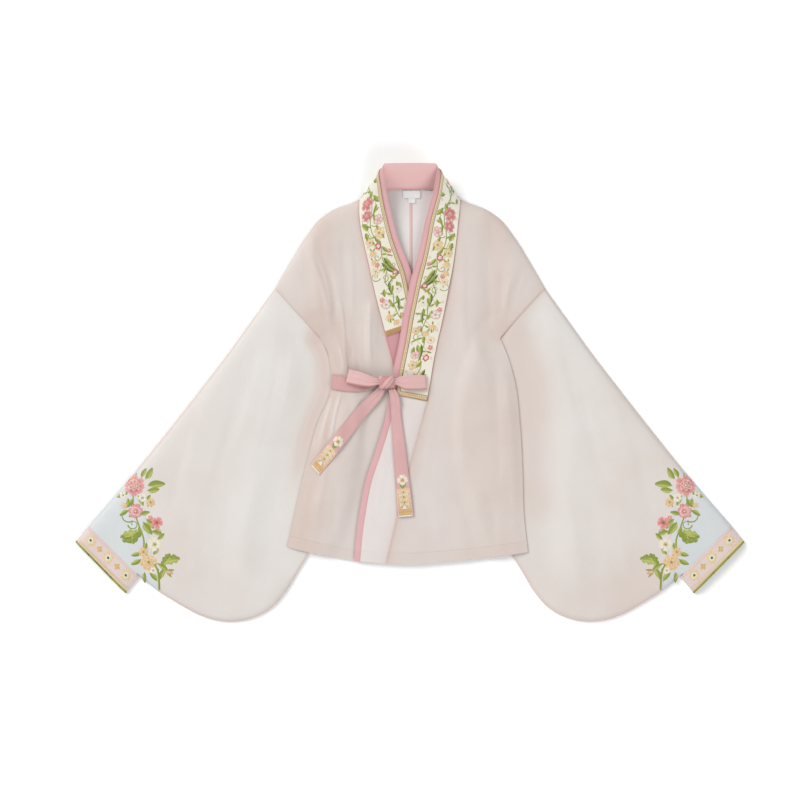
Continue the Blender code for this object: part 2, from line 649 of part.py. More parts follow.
def loop(name, table, middles, half_heights):
    """A bow's loop: a ribbon that runs out from the knot, folds over and comes back."""
    rows = 8
    shares = np.linspace(0, 1, rows)
    first = along([(r.x0, r.y0) for r in table], shares)
    second = along([(r.x1, r.y1) for r in table], shares)
    middle = np.interp(shares, np.linspace(0, 1, len(middles)), middles)
    half = np.interp(shares, np.linspace(0, 1, len(half_heights)), half_heights)
    share = np.linspace(0, 1, 6)[None, :, None]
    plan = first[:, None] * (1 - share) + second[:, None] * share
    tip_run = plan[-1] - plan[-2]
    tip_run = tip_run / np.linalg.norm(tip_run, axis=1)[:, None] * half[-1]
    layers = [with_height(p, z) for p, z in zip(plan, middle - half)]
    for angle in (-50, 0, 50):
        turn = math.radians(angle)
        place = plan[-1] + tip_run * math.cos(turn)
        layers.append(with_height(place, middle[-1] + half[-1] * math.sin(turn)))
    layers += [with_height(p, z) for p, z in zip(plan[::-1], (middle + half)[::-1])]
    points = np.array(layers)
    across, out = points[0, -1] - points[0, 0], points[1, 0] - points[0, 0]
    faces_down = across[0] * out[1] < across[1] * out[0]
    return sheet(name, points if faces_down else points[:, ::-1], "rose_cloth", RIBBON_CLOTH)


def knot(name):
    """The knot: a band of the tie wrapped round where the loops meet."""
    rings = []
    for x, y_size, z_size in KNOT_RINGS:
        ring = []
        for turn in np.linspace(0, 2 * np.pi, 17):
            c, s = math.cos(turn), math.sin(turn)
            power = 2 / KNOT_SQUARE
            y = KNOT_CENTRE[1] + y_size * math.copysign(abs(c) ** power, c)
            z = KNOT_CENTRE[2] + z_size * math.copysign(abs(s) ** power, s)
            ring.append((KNOT_CENTRE[0] + x, y, z))
        rings.append(ring)
    return sheet(name, np.array(rings)[:, ::-1], "rose_cloth", RIBBON_CLOTH, ring=True)


def label(name, corners, height, paint):
    """A small flat label, by its lower left and upper right corners."""
    x, y = np.meshgrid(np.linspace(corners[0], corners[2], 3),
                       np.linspace(corners[1], corners[3], 3))
    points = with_height(np.stack([x, y], axis=-1), height)
    return sheet(name, points, paint, LABEL_CLOTH)


def main():
    for old in list(bpy.data.objects):
        bpy.data.objects.remove(old)
    collection = bpy.data.collections.new("hanfu_jacket")
    bpy.context.scene.collection.children.link(collection)

    # The body halves and the overlap gores.
    seam = [(s.seam_x, s.seam_y) for s in LEFT_SECTIONS if s.seam_y < 340]
    body_half("body_left", 1, joined(LEFT_GORE_SEAM[:0:-1], seam, [(88.2, 348)]), (88.2, 348))
    seam = [(s.seam_x, s.seam_y) for s in RIGHT_SECTIONS[::-1] if s.seam_y < 340]
    body_half("body_right", -1, joined(RIGHT_GORE_SEAM[:0:-1], seam, [(-90, 348)]), (-90, 348))
    edge_line = offset_line(np.array(LEFT_FREE_EDGE, float), -FRONT_EDGE)
    gore_line = offset_line(np.array(LEFT_GORE_SEAM, float), GORE_GAP)
    flat_strip("gore_outer", edge_line + [GORE_GAP, 0], gore_line, 14, 6, left_front_height,
               "light_cloth", CLOTH)
    flat_strip("front_edging", LEFT_FREE_EDGE, edge_line, 20, 3, left_front_height,
               "rose_cloth", CLOTH)
    gore_line = offset_line(np.array(RIGHT_GORE_SEAM, float), -GORE_GAP)
    flat_strip("gore_inner", gore_line, RIGHT_FREE_EDGE, 12, 5, right_front_height,
               "light_cloth", CLOTH)

    # The sleeves, their white ends, the cuffs and the cuffs' bindings.
    foot_line = joined(SLEEVE_FOOT, SLEEVE_END_FOOT)
    for side, word in ((1, "left"), (-1, "right")):
        tube(f"sleeve_{word}", side, SLEEVE_TOP, SLEEVE_FOOT, foot_line, 17, "pale_cloth")
        tube(f"sleeve_end_{word}", side, SLEEVE_END_TOP, SLEEVE_END_FOOT, foot_line, 6,
             "white_cloth")
        top, foot = along(CUFF_TOP, CUFF_SPLIT), along(CUFF_FOOT, CUFF_SPLIT)
        tube(f"cuff_{word}", side, top[:2], foot[:2], CUFF_FOOT, 3, "cuff_silk")
        tube(f"cuff_binding_{word}", side, top[1:], foot[1:], CUFF_FOOT, 2, "olive_binding",
             ends=(1.4, 0))

    # The collar, and the embroidered band and braid on its outer face.
    seam, edge = collar_lines()
    last = np.flatnonzero((seam[:, 0] > 0) | (seam[:, 1] > RIGHT_BAND_END))[-1]
    band_rows, braid_rows = slice(1, last), slice(1, last + 1)
    collar_strip("collar", slice(None), COLLAR_SHARES, 0, COLLAR_CLOTH, "rose_cloth")
    collar_strip("collar_band", band_rows, BAND_SHARES, LAY_GAP + BAND_CLOTH, BAND_CLOTH,
                 "cream_silk")
    collar_strip("collar_braid", braid_rows, BRAID_SHARES, LAY_GAP + BRAID_CLOTH,
                 BRAID_CLOTH, "gold_braid")

    # The tie, the bow and the neck labels.
    ribbon("tie_side", TIE_SIDE, right_front_height, 14, 4)
    ribbon("tail_left", LEFT_TAIL, right_front_height, 18, 4)
    ribbon("tail_right", RIGHT_TAIL, under_tie_right, 20, 4)
    loop("loop_left", LEFT_LOOP, LOOP_MIDDLES, LOOP_HALVES)
    loop("loop_right", RIGHT_LOOP, LOOP_MIDDLES, LOOP_HALVES)
    knot("knot")
    label("neck_label", NECK_LABEL, CLOTH + LABEL_CLEAR + LABEL_CLOTH, "label_satin")
    label("size_label", SIZE_LABEL, CLOTH + LABEL_CLEAR + LABEL_CLOTH, "label_satin")


main()
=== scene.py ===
# %% [markdown]
# This lesson dresses a short Ming-style jacket with wide pipa sleeves, laid flat with its front
# up. The plain model is already packed, with one solid for each cut piece, and is loaded as a
# fixed frame. Each piece gets a fine cloth shell, its finish and its sewing, always at the size
# and in the place that the plain model gives it.

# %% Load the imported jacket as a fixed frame
import math
from collections import namedtuple

import bmesh
import bpy
import numpy as np
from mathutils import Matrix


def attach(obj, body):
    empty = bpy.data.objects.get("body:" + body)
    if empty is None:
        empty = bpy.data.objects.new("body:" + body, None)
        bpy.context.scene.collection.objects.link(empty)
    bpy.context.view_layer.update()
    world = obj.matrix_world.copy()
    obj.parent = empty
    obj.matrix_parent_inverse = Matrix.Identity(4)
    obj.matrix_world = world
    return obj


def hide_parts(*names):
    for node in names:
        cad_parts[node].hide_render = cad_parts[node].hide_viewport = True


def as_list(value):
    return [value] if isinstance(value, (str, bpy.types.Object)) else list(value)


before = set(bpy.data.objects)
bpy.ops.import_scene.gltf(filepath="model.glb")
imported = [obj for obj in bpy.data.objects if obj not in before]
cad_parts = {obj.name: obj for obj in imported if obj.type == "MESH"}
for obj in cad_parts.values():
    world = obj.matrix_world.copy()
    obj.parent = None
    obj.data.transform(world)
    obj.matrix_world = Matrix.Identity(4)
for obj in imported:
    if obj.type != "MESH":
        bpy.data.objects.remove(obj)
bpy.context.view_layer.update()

print("solids in the frame:", len(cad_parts))

# %% [markdown]
# The camera looks straight down with a long lens, so the outline keeps its true proportions. A
# white floor and a pale sky give the even light of a studio table. The lamp to the upper left
# is the stronger one, so each fold has a light and a dark side.

# %% Camera, floor and lights
VIEW_WIDTH, VIEW_CENTRE = 1.44, (-0.018, -0.0135)
LENS, SENSOR = 120.0, 36.0
FLOOR_HALF, FLOOR_LEVEL, FLOOR_TONE, FLOOR_ROUGHNESS = 15.0, -0.0008, (0.98, 0.98, 0.98), 0.9
SKY_STRENGTH, LAMP_SIZE = 0.545, 7.0
LAMPS = {"window_lamp": ((-7.5, 5.7, 6.6), 955.0), "fill_lamp": ((5.0, -6.5, 6.0), 395.0)}


def add_object(name, data):
    """A new object in the scene."""
    made = bpy.data.objects.new(name, data)
    scene.collection.objects.link(made)
    return made


def fill(tree, made, *ordered, **named):
    """Gives a node its values, and links those that are sockets. The ordered ones go to its
    inputs, and so do names that start with a capital. The other names are its settings."""
    for name, value in named.items():
        if name[0].islower():
            setattr(made, name, value)
    pairs = list(zip(made.inputs, ordered))
    pairs += [(made.inputs[name.replace("_", " ")], value) for name, value in named.items()
              if name[0].isupper()]
    for socket, value in pairs:
        if isinstance(value, bpy.types.NodeSocket):
            tree.links.new(value, socket)
        elif value is not None:
            socket.default_value = (*value, 1) if socket.type == "RGBA" else value
    return made.outputs


def material(name, finish, *given):
    """A new material. A function of its node tree works out the values for its shader."""
    made = bpy.data.materials.new(name)
    made.use_nodes = True
    tree = made.node_tree
    fill(tree, tree.nodes["Principled BSDF"], **finish(tree, *given))
    return made


scene = bpy.context.scene
for spare in [o for o in scene.objects if o.type in ("CAMERA", "LIGHT")]:
    bpy.data.objects.remove(spare)

camera = add_object("table_camera", bpy.data.cameras.new("table_camera"))
camera.data.lens, camera.data.sensor_width = LENS, SENSOR
camera.location = (*VIEW_CENTRE, VIEW_WIDTH * LENS / SENSOR)
scene.camera = camera
scene.view_settings.view_transform = "Standard"

for name, (place, power) in LAMPS.items():
    lamp = add_object(name, bpy.data.lights.new(name, "AREA"))
    lamp.data.shape, lamp.data.size, lamp.data.energy = "DISK", LAMP_SIZE, power
    lamp.location = place
    lamp.rotation_mode = "QUATERNION"
    lamp.rotation_quaternion = (-lamp.location).to_track_quat("-Z", "Y")

scene.world = bpy.data.worlds.new("pale_sky")
scene.world.use_nodes = True
sky = scene.world.node_tree
fill(sky, sky.nodes["Background"], Color=(1, 1, 1), Strength=SKY_STRENGTH)

floor_mesh = bpy.data.meshes.new("studio_floor")
floor_mesh.from_pydata([(FLOOR_HALF * x, FLOOR_HALF * y, FLOOR_LEVEL)
                        for x, y in ((-1, -1), (1, -1), (1, 1), (-1, 1))], [], [(0, 1, 2, 3)])
floor_mesh.materials.append(material("white_floor", lambda tree: {
    "Base_Color": FLOOR_TONE, "Roughness": FLOOR_ROUGHNESS}))
add_object("studio_floor", floor_mesh)
print("camera", [round(c, 3) for c in camera.location], "lamps", list(LAMPS))

# %% [markdown]
# A laid garment is easiest to shape as a map: every piece is an outline seen from above, and a
# function gives the cloth's height at each point of the map. The same function serves whatever
# lies on that cloth, such as the tie or the needlework, so nothing floats or sinks. These small
# helpers draw smooth lines through short tables of points.

# %% Helpers for lines on the map
MM = 0.001


def ease(t):
    """0 below 0, 1 above 1, and a smooth rise between."""
    t = np.clip(t, 0.0, 1.0)
    return t * t * (3 - 2 * t)


def bulge(t):
    """A quarter round: steep at 0 and level from 1 on."""
    return np.sqrt(1 - (1 - np.clip(t, 0.0, 1.0)) ** 2)


def hump(away, width):
    """1 where away is 0, with a smooth fall to both sides."""
    return np.exp(-((away / width) ** 2))


def unit(vectors):
    """Vectors of length 1."""
    return vectors / np.linalg.norm(vectors, axis=-1)[..., None]


def between(first, second, share):
    """Values at a share of the way from the first to the second."""
    return first * (1 - share) + second * share


def smooth_through(marks, points, places):
    """The smooth line through points that sit at given marks, read at other places."""
    points, steps = np.array(points, float), np.diff(marks)
    slopes = np.diff(points, axis=0) / steps[:, None]
    near, far = steps[:-1, None], steps[1:, None]
    middle = (far * slopes[:-1] + near * slopes[1:]) / (near + far)
    tangents = np.concatenate([slopes[:1], middle, slopes[-1:]])
    k = np.clip(np.searchsorted(marks, places, side="right") - 1, 0, len(steps) - 1)
    q, h = ((places - marks[k]) / steps[k])[..., None], steps[k][..., None]
    return ((1 + 2 * q) * (1 - q) ** 2 * points[k] + q * (1 - q) ** 2 * h * tangents[k]
            + q * q * (3 - 2 * q) * points[k + 1] + q * q * (q - 1) * h * tangents[k + 1])


def lengths_along(points):
    """The running length at each point of a line."""
    steps = np.linalg.norm(np.diff(np.array(points, float), axis=0), axis=1)
    return np.concatenate([[0.0], np.cumsum(steps)])


def along(table, t):
    """The smooth line through a table's points, read at the shares t of its length."""
    marks = lengths_along(table)
    return smooth_through(marks, table, np.clip(np.asarray(t, float), 0, 1) * marks[-1])


def joined(*tables):
    """One table from several that run on from each other, without the repeated points."""
    points = list(tables[0])
    for table in tables[1:]:
        points += list(table)[1:] if tuple(table[0]) == tuple(points[-1]) else list(table)
    return points


def distance(x, y, table):
    """How far each point lies from the broken line through a table's points."""
    line, best = np.array(table, float), np.full(np.shape(x), np.inf)
    for (ax, ay), (dx, dy) in zip(line, np.diff(line, axis=0)):
        t = np.clip(((x - ax) * dx + (y - ay) * dy) / (dx * dx + dy * dy), 0, 1)
        best = np.minimum(best, np.hypot(x - ax - t * dx, y - ay - t * dy))
    return best


def inside(x, y, table):
    """True where a point lies within the closed outline through a table's points."""
    line, found = np.array(table, float), np.zeros(np.shape(x), bool)
    for (ax, ay), (bx, by) in zip(line, np.roll(line, -1, axis=0)):
        reach = ax + (bx - ax) * (y - ay) / np.where(by == ay, 1e-9, by - ay)
        found ^= ((ay > y) != (by > y)) & (x < reach)
    return found


def offset_line(line, amount):
    """A line of plan points moved to its right as it runs."""
    runs = unit(np.gradient(np.array(line, float), axis=0))
    return line + amount * np.stack([runs[:, 1], -runs[:, 0]], axis=1)


def with_height(plan, heights):
    """Plan points with a height each."""
    heights = np.broadcast_to(heights, plan.shape[:-1])
    return np.concatenate([plan, heights[..., None]], axis=-1)


print("half way along a right angle:", along([(0, 0), (10, 0), (10, 10)], 0.5))

# %% [markdown]
# Next come the sizes that the jacket was cut to, in millimetres. +X is the wearer's left and
# +Y is towards the neck. "out" is the distance from the centre line. Both sleeves share one
# outline. The collar's sections run from its end on the wearer's left round the neck to its end
# on the right. A seam height of None means level with the front.

# %% Outlines of the laid jacket
SHOULDER = [(88, 348), (108, 340), (139, 328), (166, 308), (184, 285), (199, 263), (212, 241),
            (225, 219), (237, 198), (243, 187)]
SLEEVE_TOP = [(243, 187), (281, 134), (328, 69), (378, 4), (428, -60), (480, -125), (489, -136)]
SLEEVE_END_TOP = [(489, -136), (535, -190), (578, -239.5)]
SLEEVE_FOOT = [(154, 89), (138, 50), (124, 10), (118, -50), (122, -120), (136, -190),
               (158, -250), (182.5, -291), (200, -319.5), (226, -362), (245, -384),
               (267, -399), (293, -408.5), (324, -412.3), (355, -408.5), (382, -399),
               (410, -384), (453, -358)]
SLEEVE_END_FOOT = [(453, -358), (473, -342), (486, -331)]
CUFF_TOP, CUFF_FOOT = [(578, -239.5), (602, -269)], [(486, -331), (511, -361.5)]
UNDERARM = (162, 98)
HIDDEN_POINTS = 8
SIDE_EDGE = {
    1: [UNDERARM, (178, 58), (189, 17), (198, -60), (202, -134), (205, -224), (212, -287)],
    -1: [UNDERARM, (148, 72), (143.5, 50), (142, 31), (142.5, 3), (151, -22), (164, -50),
         (182, -112), (198, -175), (212, -238), (221, -278)]}
HEM = [(-221, -278), (-182, -287), (-144, -294.5), (-101, -303), (-43, -308), (2, -309),
       (54, -305.5), (112, -300), (182, -291.5), (212, -287)]
LEFT_GORE_SEAM = [(31.1, -16.0), (19.6, -55), (3.9, -112), (-24.5, -228), (-43.4, -308)]
LEFT_FREE_EDGE = [(-36.9, -2.5), (-45.5, -50), (-62, -105), (-79.6, -158), (-90, -211),
                  (-96.5, -256), (-100.5, -303)]
RIGHT_GORE_SEAM = [(-14.4, -10.7), (6, -90), (22, -190), (39.6, -307)]
RIGHT_FREE_EDGE = [(45.0, 5.5), (62, -70), (80, -180), (97, -301)]
Section = namedtuple("Section", "seam_x seam_y seam_z edge_x edge_y edge_z")
LEFT_SECTIONS = [Section(*row) for row in (
    (31.1, -15.3, None, -36.9, -1.8, 9.6), (36.5, 15.3, None, -33.3, 22.5, 9.6),
    (42.3, 51.3, None, -27.0, 54.9, 9.8), (49.7, 89.1, None, -19.8, 89.1, 10.2),
    (58.0, 125.1, None, -13.3, 132.3, 10.6), (65.3, 161.1, None, -6.3, 166.5, 11.0),
    (71.6, 194.4, None, 2.2, 205.2, 11.6), (77.9, 227.7, None, 11.2, 236.7, 12.6),
    (82.8, 263.7, None, 19.8, 272.7, 14.0), (86.0, 296.1, None, 28.1, 312.3, 17.0),
    (88.2, 319.5, None, 35.3, 336.6, 22.5), (89.3, 333.9, 7.6, 42.3, 361.8, 31.0),
    (88.9, 344.7, 5.6, 46.2, 384.0, 39.6), (85.6, 350.6, 3.6, 48.6, 399.0, 45.0),
    (75.6, 355.6, 2.5, 47.0, 406.8, 46.6), (57.6, 361.9, 2.1, 37.0, 408.4, 46.9),
    (36.0, 365.0, 2.1, 20.0, 408.8, 47.0))]
CENTRE_SECTION = Section(0.0, 366.2, 2.1, 0.0, 409.0, 47.0)
RIGHT_SECTIONS = [Section(*row) for row in (
    (-36.0, 365.0, 2.1, -20.0, 408.8, 47.0), (-57.6, 361.9, 2.1, -37.0, 408.4, 46.9),
    (-75.6, 355.6, 2.5, -47.0, 406.8, 46.6), (-85.8, 350.6, 3.6, -48.4, 399.0, 45.0),
    (-89.3, 344.7, 5.6, -46.2, 384.0, 39.6), (-90.7, 333.9, 7.6, -43.6, 367.2, 31.0),
    (-91.1, 317.7, None, -39.2, 344.7, 23.0), (-88.9, 296.1, None, -33.1, 319.5, 17.0),
    (-82.4, 263.7, None, -23.4, 282.6, 12.0), (-74.9, 229.5, None, -11.2, 250.2, 8.6),
    (-67.7, 195.3, None, 0.9, 220.5, 6.4), (-59.4, 161.1, None, 8.3, 186.3, 5.4),
    (-50.4, 126.9, None, 15.8, 150.3, 5.0), (-41.4, 92.7, None, 23.4, 114.3, 4.9),
    (-32.4, 58.5, None, 31.0, 78.3, 4.9), (-23.4, 24.3, None, 38.2, 42.3, 4.9),
    (-14.4, -9.9, None, 45.0, 6.3, 4.9))]
COLLAR_SECTIONS = LEFT_SECTIONS + [CENTRE_SECTION] + RIGHT_SECTIONS
LEFT_FREE_LINE = joined(LEFT_FREE_EDGE[::-1], [(s.edge_x, s.edge_y) for s in LEFT_SECTIONS[:12]])
RIGHT_FREE_LINE = joined(RIGHT_FREE_EDGE[::-1],
                         [(s.edge_x, s.edge_y) for s in RIGHT_SECTIONS[:6:-1]])
print("collar sections:", len(COLLAR_SECTIONS))

# %% [markdown]
# Folds make cloth look like cloth. The broad ones are soft ridges and troughs, and the plain
# model has them too. The creases are narrower and steeper on one side, and each has its own
# length, depth and bow, as they do where a tie pulls the waist in. A faint ripple keeps the
# flat stretches from looking like card.

# %% Folds and creases of the fronts and sleeves
# A row says where a fold starts and ends, its width and height, and for a crease its bow.
CREASE_LEAN, CREASE_END = 0.45, 0.3
RIGHT_FRONT_FOLDS = [
    (-68, 150, -67, 62, 12, 3.2), (-130, 150, -121, 44, 9, 1.0), (-98, 120, -92, 50, 11, -1.4),
    (-140, -28, -168, -96, 12, 3.4), (-118, -30, -139, -110, 11, 3.2),
    (-73, -60, -69, -112, 18, -2.2), (-112, -120, -109, -296, 22, 2.6),
    (-176, 272, -160, 128, 11, 2.8), (-150, 262, -138, 128, 15, 2.2),
    (-165, -200, -178, -284, 14, 2.2)]
LEFT_FRONT_FOLDS = [
    (104, 292, 118, -50, 27, 2.4), (148, 300, 160, 0, 16, -2.2), (186, 222, 176, 126, 15, 2.0),
    (176, 40, 192, -190, 13, 2.2), (122, -190, 127, -300, 17, 2.8),
    (67, -200, 72, -302, 15, -2.0), (10, -215, 14, -306, 15, 2.4)]
SLEEVE_FOLDS = [(232, 90, 300, -300, 40, 1.8), (196, 70, 232, -250, 16, 1.4),
                (330, 0, 400, -250, 52, 1.5), (275, 60, 262, -120, 24, -0.8)]
RIGHT_FRONT_CREASES = [
    (-70, 172, -68, 30, 5, 2.0, 3), (-82, 150, -80, 36, 6, -1.0, 0),
    (-128, 186, -117, 30, 4, 1.5, -5), (-143, 176, -130, 34, 4, 1.7, 5),
    (-104, 96, -100, 28, 6, -1.2, 3), (-187, 258, -148, 100, 6, 1.8, -14),
    (-172, 268, -140, 60, 8, 1.4, -12), (-150, 240, -132, 110, 7, -1.2, -6),
    (-128, 300, -120, 150, 12, 0.9, 4), (-108, 290, -104, 120, 7, 0.8, -3),
    (-92, -22, -94, -104, 8, 1.4, -4), (-74, -20, -80, -140, 9, -1.6, 4),
    (-150, -110, -176, -240, 10, 1.4, -6), (-128, -150, -134, -296, 9, -1.2, 3),
    (-86, -170, -90, -300, 10, 1.2, -3), (-190, -200, -204, -284, 8, 1.4, 3)]
TIE_PLEATS = [
    (-121, 8, -142, -92, 3.5, 3.4, 3), (-127, 6, -152, -98, 4.5, -1.8, 3),
    (-134, 4, -164, -104, 4, 3.0, 3), (-121, 32, -132, 92, 3.5, 3.0, 3),
    (-127, 32, -142, 84, 4.5, -1.8, 3), (-112, 30, -114, 74, 4, -1.6, 3)]
LEFT_FRONT_CREASES = [
    (96, 300, 104, 30, 16, 1.4, 6), (128, 296, 140, 40, 15, -1.3, -8),
    (160, 262, 166, 60, 12, 1.0, 6), (182, 210, 172, 104, 8, 1.4, 4),
    (206, 226, 184, 124, 9, -1.0, 6), (92, 30, 100, -180, 16, 1.2, 5),
    (150, 40, 158, -190, 14, -1.4, -5), (60, 10, 30, -150, 12, 1.0, 5),
    (36, -60, -2, -200, 10, -0.9, -4), (30, -200, 26, -304, 10, 1.6, 3),
    (92, -210, 98, -302, 12, 1.6, -4), (152, -200, 158, -294, 12, -1.4, 3),
    (-40, -120, -58, -230, 9, 0.9, 3)]
SLEEVE_CREASES = [
    (214, 150, 236, -60, 12, 1.8, 10), (232, 120, 280, -150, 15, -1.6, 8),
    (262, 110, 330, -120, 18, 1.5, 12), (300, 60, 372, -210, 20, -1.6, 10),
    (352, 6, 410, -190, 18, 1.5, -8), (190, -150, 232, -330, 12, 1.6, -8),
    (222, -110, 262, -350, 14, -1.4, -10), (262, -120, 306, -380, 18, 1.6, -10),
    (320, -160, 344, -392, 18, -1.4, -6), (372, -160, 392, -376, 16, 1.4, -6),
    (410, -90, 446, -240, 14, -1.2, 6)]
# The faint ripple's waves: turns across and up for each metre, start, height.
RIPPLES = [(5.5, 1.3, 0.4, 0.32), (9.1, -2.2, 2.1, 0.26), (3.7, 4.4, 4.0, 0.30),
           (14.3, 3.1, 1.2, 0.14), (7.9, -8.3, 5.2, 0.16)]


def folds_at(x, y, folds):
    """The height that a list of soft folds adds at each point."""
    return sum(height * hump(distance(x, y, [(x0, y0), (x1, y1)]), width)
               for x0, y0, x1, y1, width, height in folds)


def creases_at(x, y, creases):
    """The height that a list of creases adds. Each is steeper on its left, and fades out."""
    total = 0
    for x0, y0, x1, y1, width, height, bow in creases:
        length = math.hypot(x1 - x0, y1 - y0)
        run_x, run_y = (x1 - x0) / length, (y1 - y0) / length
        t = ((x - x0) * run_x + (y - y0) * run_y) / length
        side = (x - x0) * run_y - (y - y0) * run_x - bow * 4 * t * (1 - t)
        fade = ease(t / CREASE_END) * ease((1 - t) / CREASE_END)
        total = total + height * fade * hump(side, width * np.where(side > 0, 1, CREASE_LEAN))
    return total


def ripple(x, y):
    """A faint unevenness over the whole cloth."""
    return sum(h * np.sin(2 * np.pi * MM * (a * x + b * y) + start)
               for a, b, start, h in RIPPLES)


print("creases:", len(RIGHT_FRONT_CREASES + TIE_PLEATS + LEFT_FRONT_CREASES + SLEEVE_CREASES))

# %% [markdown]
# The height of each layer follows from what lies under it. The sleeves lie on the table and
# the body's back climbs over them. The inner front lies on the back, and the outer front takes
# a step up where it crosses the inner one. Near an edge or a seam the loft dies away, because
# sewing holds the layers together there. A further value says how much pinker the cloth looks
# where it is doubled, and also carries painted shade and painted light beside folds, seams and
# edges.

# %% Heights of the layers
CLOTH, FINE_CLOTH = 1.2, 0.7
SEAM_GAP, COLLAR_SEAM_GAP, GORE_GAP = 0.05, 0.1, 0.1
SEAM_DENT, DENT_WIDTH = 0.32, 1.5
ARMHOLE = [SHOULDER[-1], UNDERARM]
ARMHOLE_RISE, ARMHOLE_RUN = 5.2, 46.0
UNDERARM_LIFT = 2.5
FOLD_RADIUS = 2.0
FLAT_TUBE = 2 * FOLD_RADIUS
BODY_LIFT, LIFT_RUN, LIFT_SPARE = FLAT_TUBE + 0.5, 28.0, 18.0
FRONT_LOFT, SLEEVE_LOFT = 5.5, 6.0
HEM_LOFT, HEM_RUN = 0.35, 120.0
EDGE_ROUND, EDGE_SLOPE, SHOULDER_ROUND = 26.0, 52.0, 26.0
SLEEVE_START, SLEEVE_RISE = 24.0, 70.0
PINCH_RUN, UNDER_FLAP_RUN = 60.0, 62.0
FLAP_STEP, FLAP_STEP_RUN, FLAP_STEP_TOP = 3.4, 30.0, 235.0
SIDE_PANEL = 2 * CLOTH + 1.2
SIDE_SEAM_PRESS, SIDE_SEAM_RUN = 1.9, 20.0
HEM_DEPTH, HEM_GROOVE, GROOVE_WIDTH = 20.0, 0.45, 1.6
TIE_LINE = [(-143, 20), (-110, 14), (-60, 17)]
TIE_PRESS, TIE_PRESS_RUN = 0.85, 38.0
# The seams' pink line and band are the seam allowance showing through, and the hem tint is the
# doubled hem. The rest is painted shade and painted light: a dark rim along the sleeves' folds, and
# bands beside the side seams, on the shoulders, on the tie's pleats and across the fronts and
# sleeves. The sleeves also turn darker towards their foot.
SEAM_LINE, SEAM_BAND, FOLD_RIM = 2.6, 13.0, 3.4
SIDE_PAINTED_SHADING = {1: (-0.1, 26.0), -1: (0.75, 44.0)}
SLEEVE_PAINTED_SHADE = {1: (0.72, 20.0, 48.0, -300.0), -1: (1.3, 12.0, 15.0, -215.0)}
ARMHOLE_SHOW = {1: 0.6, -1: 0.2}
SLEEVE_TINT = {1: 0.4, -1: 0.1}
SHOULDER_PAINTED_SHADE, FRONT_PAINTED_SHADING, HEM_TINT, PLEAT_PAINTED_SHADING = 0.5, 0.16, 0.12, 0.22
FAR_PAINTED_SHADE, NEAR_PAINTED_LIGHT = 0.16, 0.17
FOOT_LINE = joined(SLEEVE_FOOT, SLEEVE_END_FOOT)
TOP_LINE = joined(SLEEVE_TOP, SLEEVE_END_TOP, CUFF_TOP)
JOINT = [SLEEVE_END_TOP[0], SLEEVE_END_FOOT[0]]
CUFF_JOINT = [CUFF_TOP[0], CUFF_FOOT[0]]
HIDDEN_EDGE = [UNDERARM] + SLEEVE_FOOT[:HIDDEN_POINTS]
HIDDEN_PART = HIDDEN_EDGE + [(320, -291), (320, 98)]
HEM_POINTS = along(HEM, np.linspace(0, 1, 60))
SIDE_LINE = {side: along(table, np.linspace(0, 1, 40)) for side, table in SIDE_EDGE.items()}
SHOULDER_LINE = along(SHOULDER, np.linspace(0, 1, 30))


def hem_line(x):
    """The hem's y at each x."""
    return np.interp(x, HEM_POINTS[:, 0], HEM_POINTS[:, 1])


def back_height(x, y, side):
    """The back's underside: on the table, and raised where a sleeve lies under it."""
    out = side * x
    away = distance(out, y, HIDDEN_EDGE) * np.where(inside(out, y, HIDDEN_PART), 1, -1)
    return BODY_LIFT * ease((away + LIFT_SPARE + LIFT_RUN) / LIFT_RUN)


def outside_body(out, y, side):
    """How far a sleeve's point lies outside the body's side edge and hem."""
    hem = sorted(((side * hx, hy) for hx, hy in HEM if 100 < side * hx), reverse=True)
    edge = joined(SIDE_LINE[side], hem[1:])
    return distance(out, y, edge) * np.where(inside(out, y, edge + [(0, -305), (0, 98)]), -1, 1)


def dent(away):
    """The dent that a seam presses into the cloth on both sides of it."""
    return SEAM_DENT * hump(away, DENT_WIDTH)


def meet_at_armhole(out, y, height, step):
    """Draws a height towards the armhole seam's own, so that body and sleeve meet there."""
    (ax, ay), (bx, by) = ARMHOLE
    t = np.clip(((out - ax) * (bx - ax) + (y - ay) * (by - ay)) /
                ((bx - ax) ** 2 + (by - ay) ** 2), 0, 1)
    away = distance(out, y, ARMHOLE)
    seam = FLAT_TUBE + ARMHOLE_RISE * np.sin(np.pi * t) ** 0.6 + step * (0.06 + t ** 5)
    near = 1 - ease(away / ARMHOLE_RUN)
    return between(height, seam, near) - dent(away) * np.sin(np.pi * t)


def sleeve_height(out, y, side, foot_line):
    """The sleeve's upper face: low beside and under the body, and lofted further out."""
    rise = ease((outside_body(out, y, side) - SLEEVE_START) / SLEEVE_RISE)
    rounding = (bulge((distance(out, y, TOP_LINE) - FOLD_RADIUS) / SHOULDER_ROUND)
                * bulge((distance(out, y, foot_line) - FOLD_RADIUS) / SHOULDER_ROUND))
    loft = SLEEVE_LOFT + folds_at(out, y, SLEEVE_FOLDS)
    loft = loft + 0.6 * creases_at(out, y, SLEEVE_CREASES) + ripple(side * out, y)
    height = FLAT_TUBE + np.maximum(loft, 0) * rise * rounding
    joints = dent(distance(out, y, JOINT)) + dent(distance(out, y, CUFF_JOINT))
    return meet_at_armhole(out, y, height, 0.0) - joints * rounding


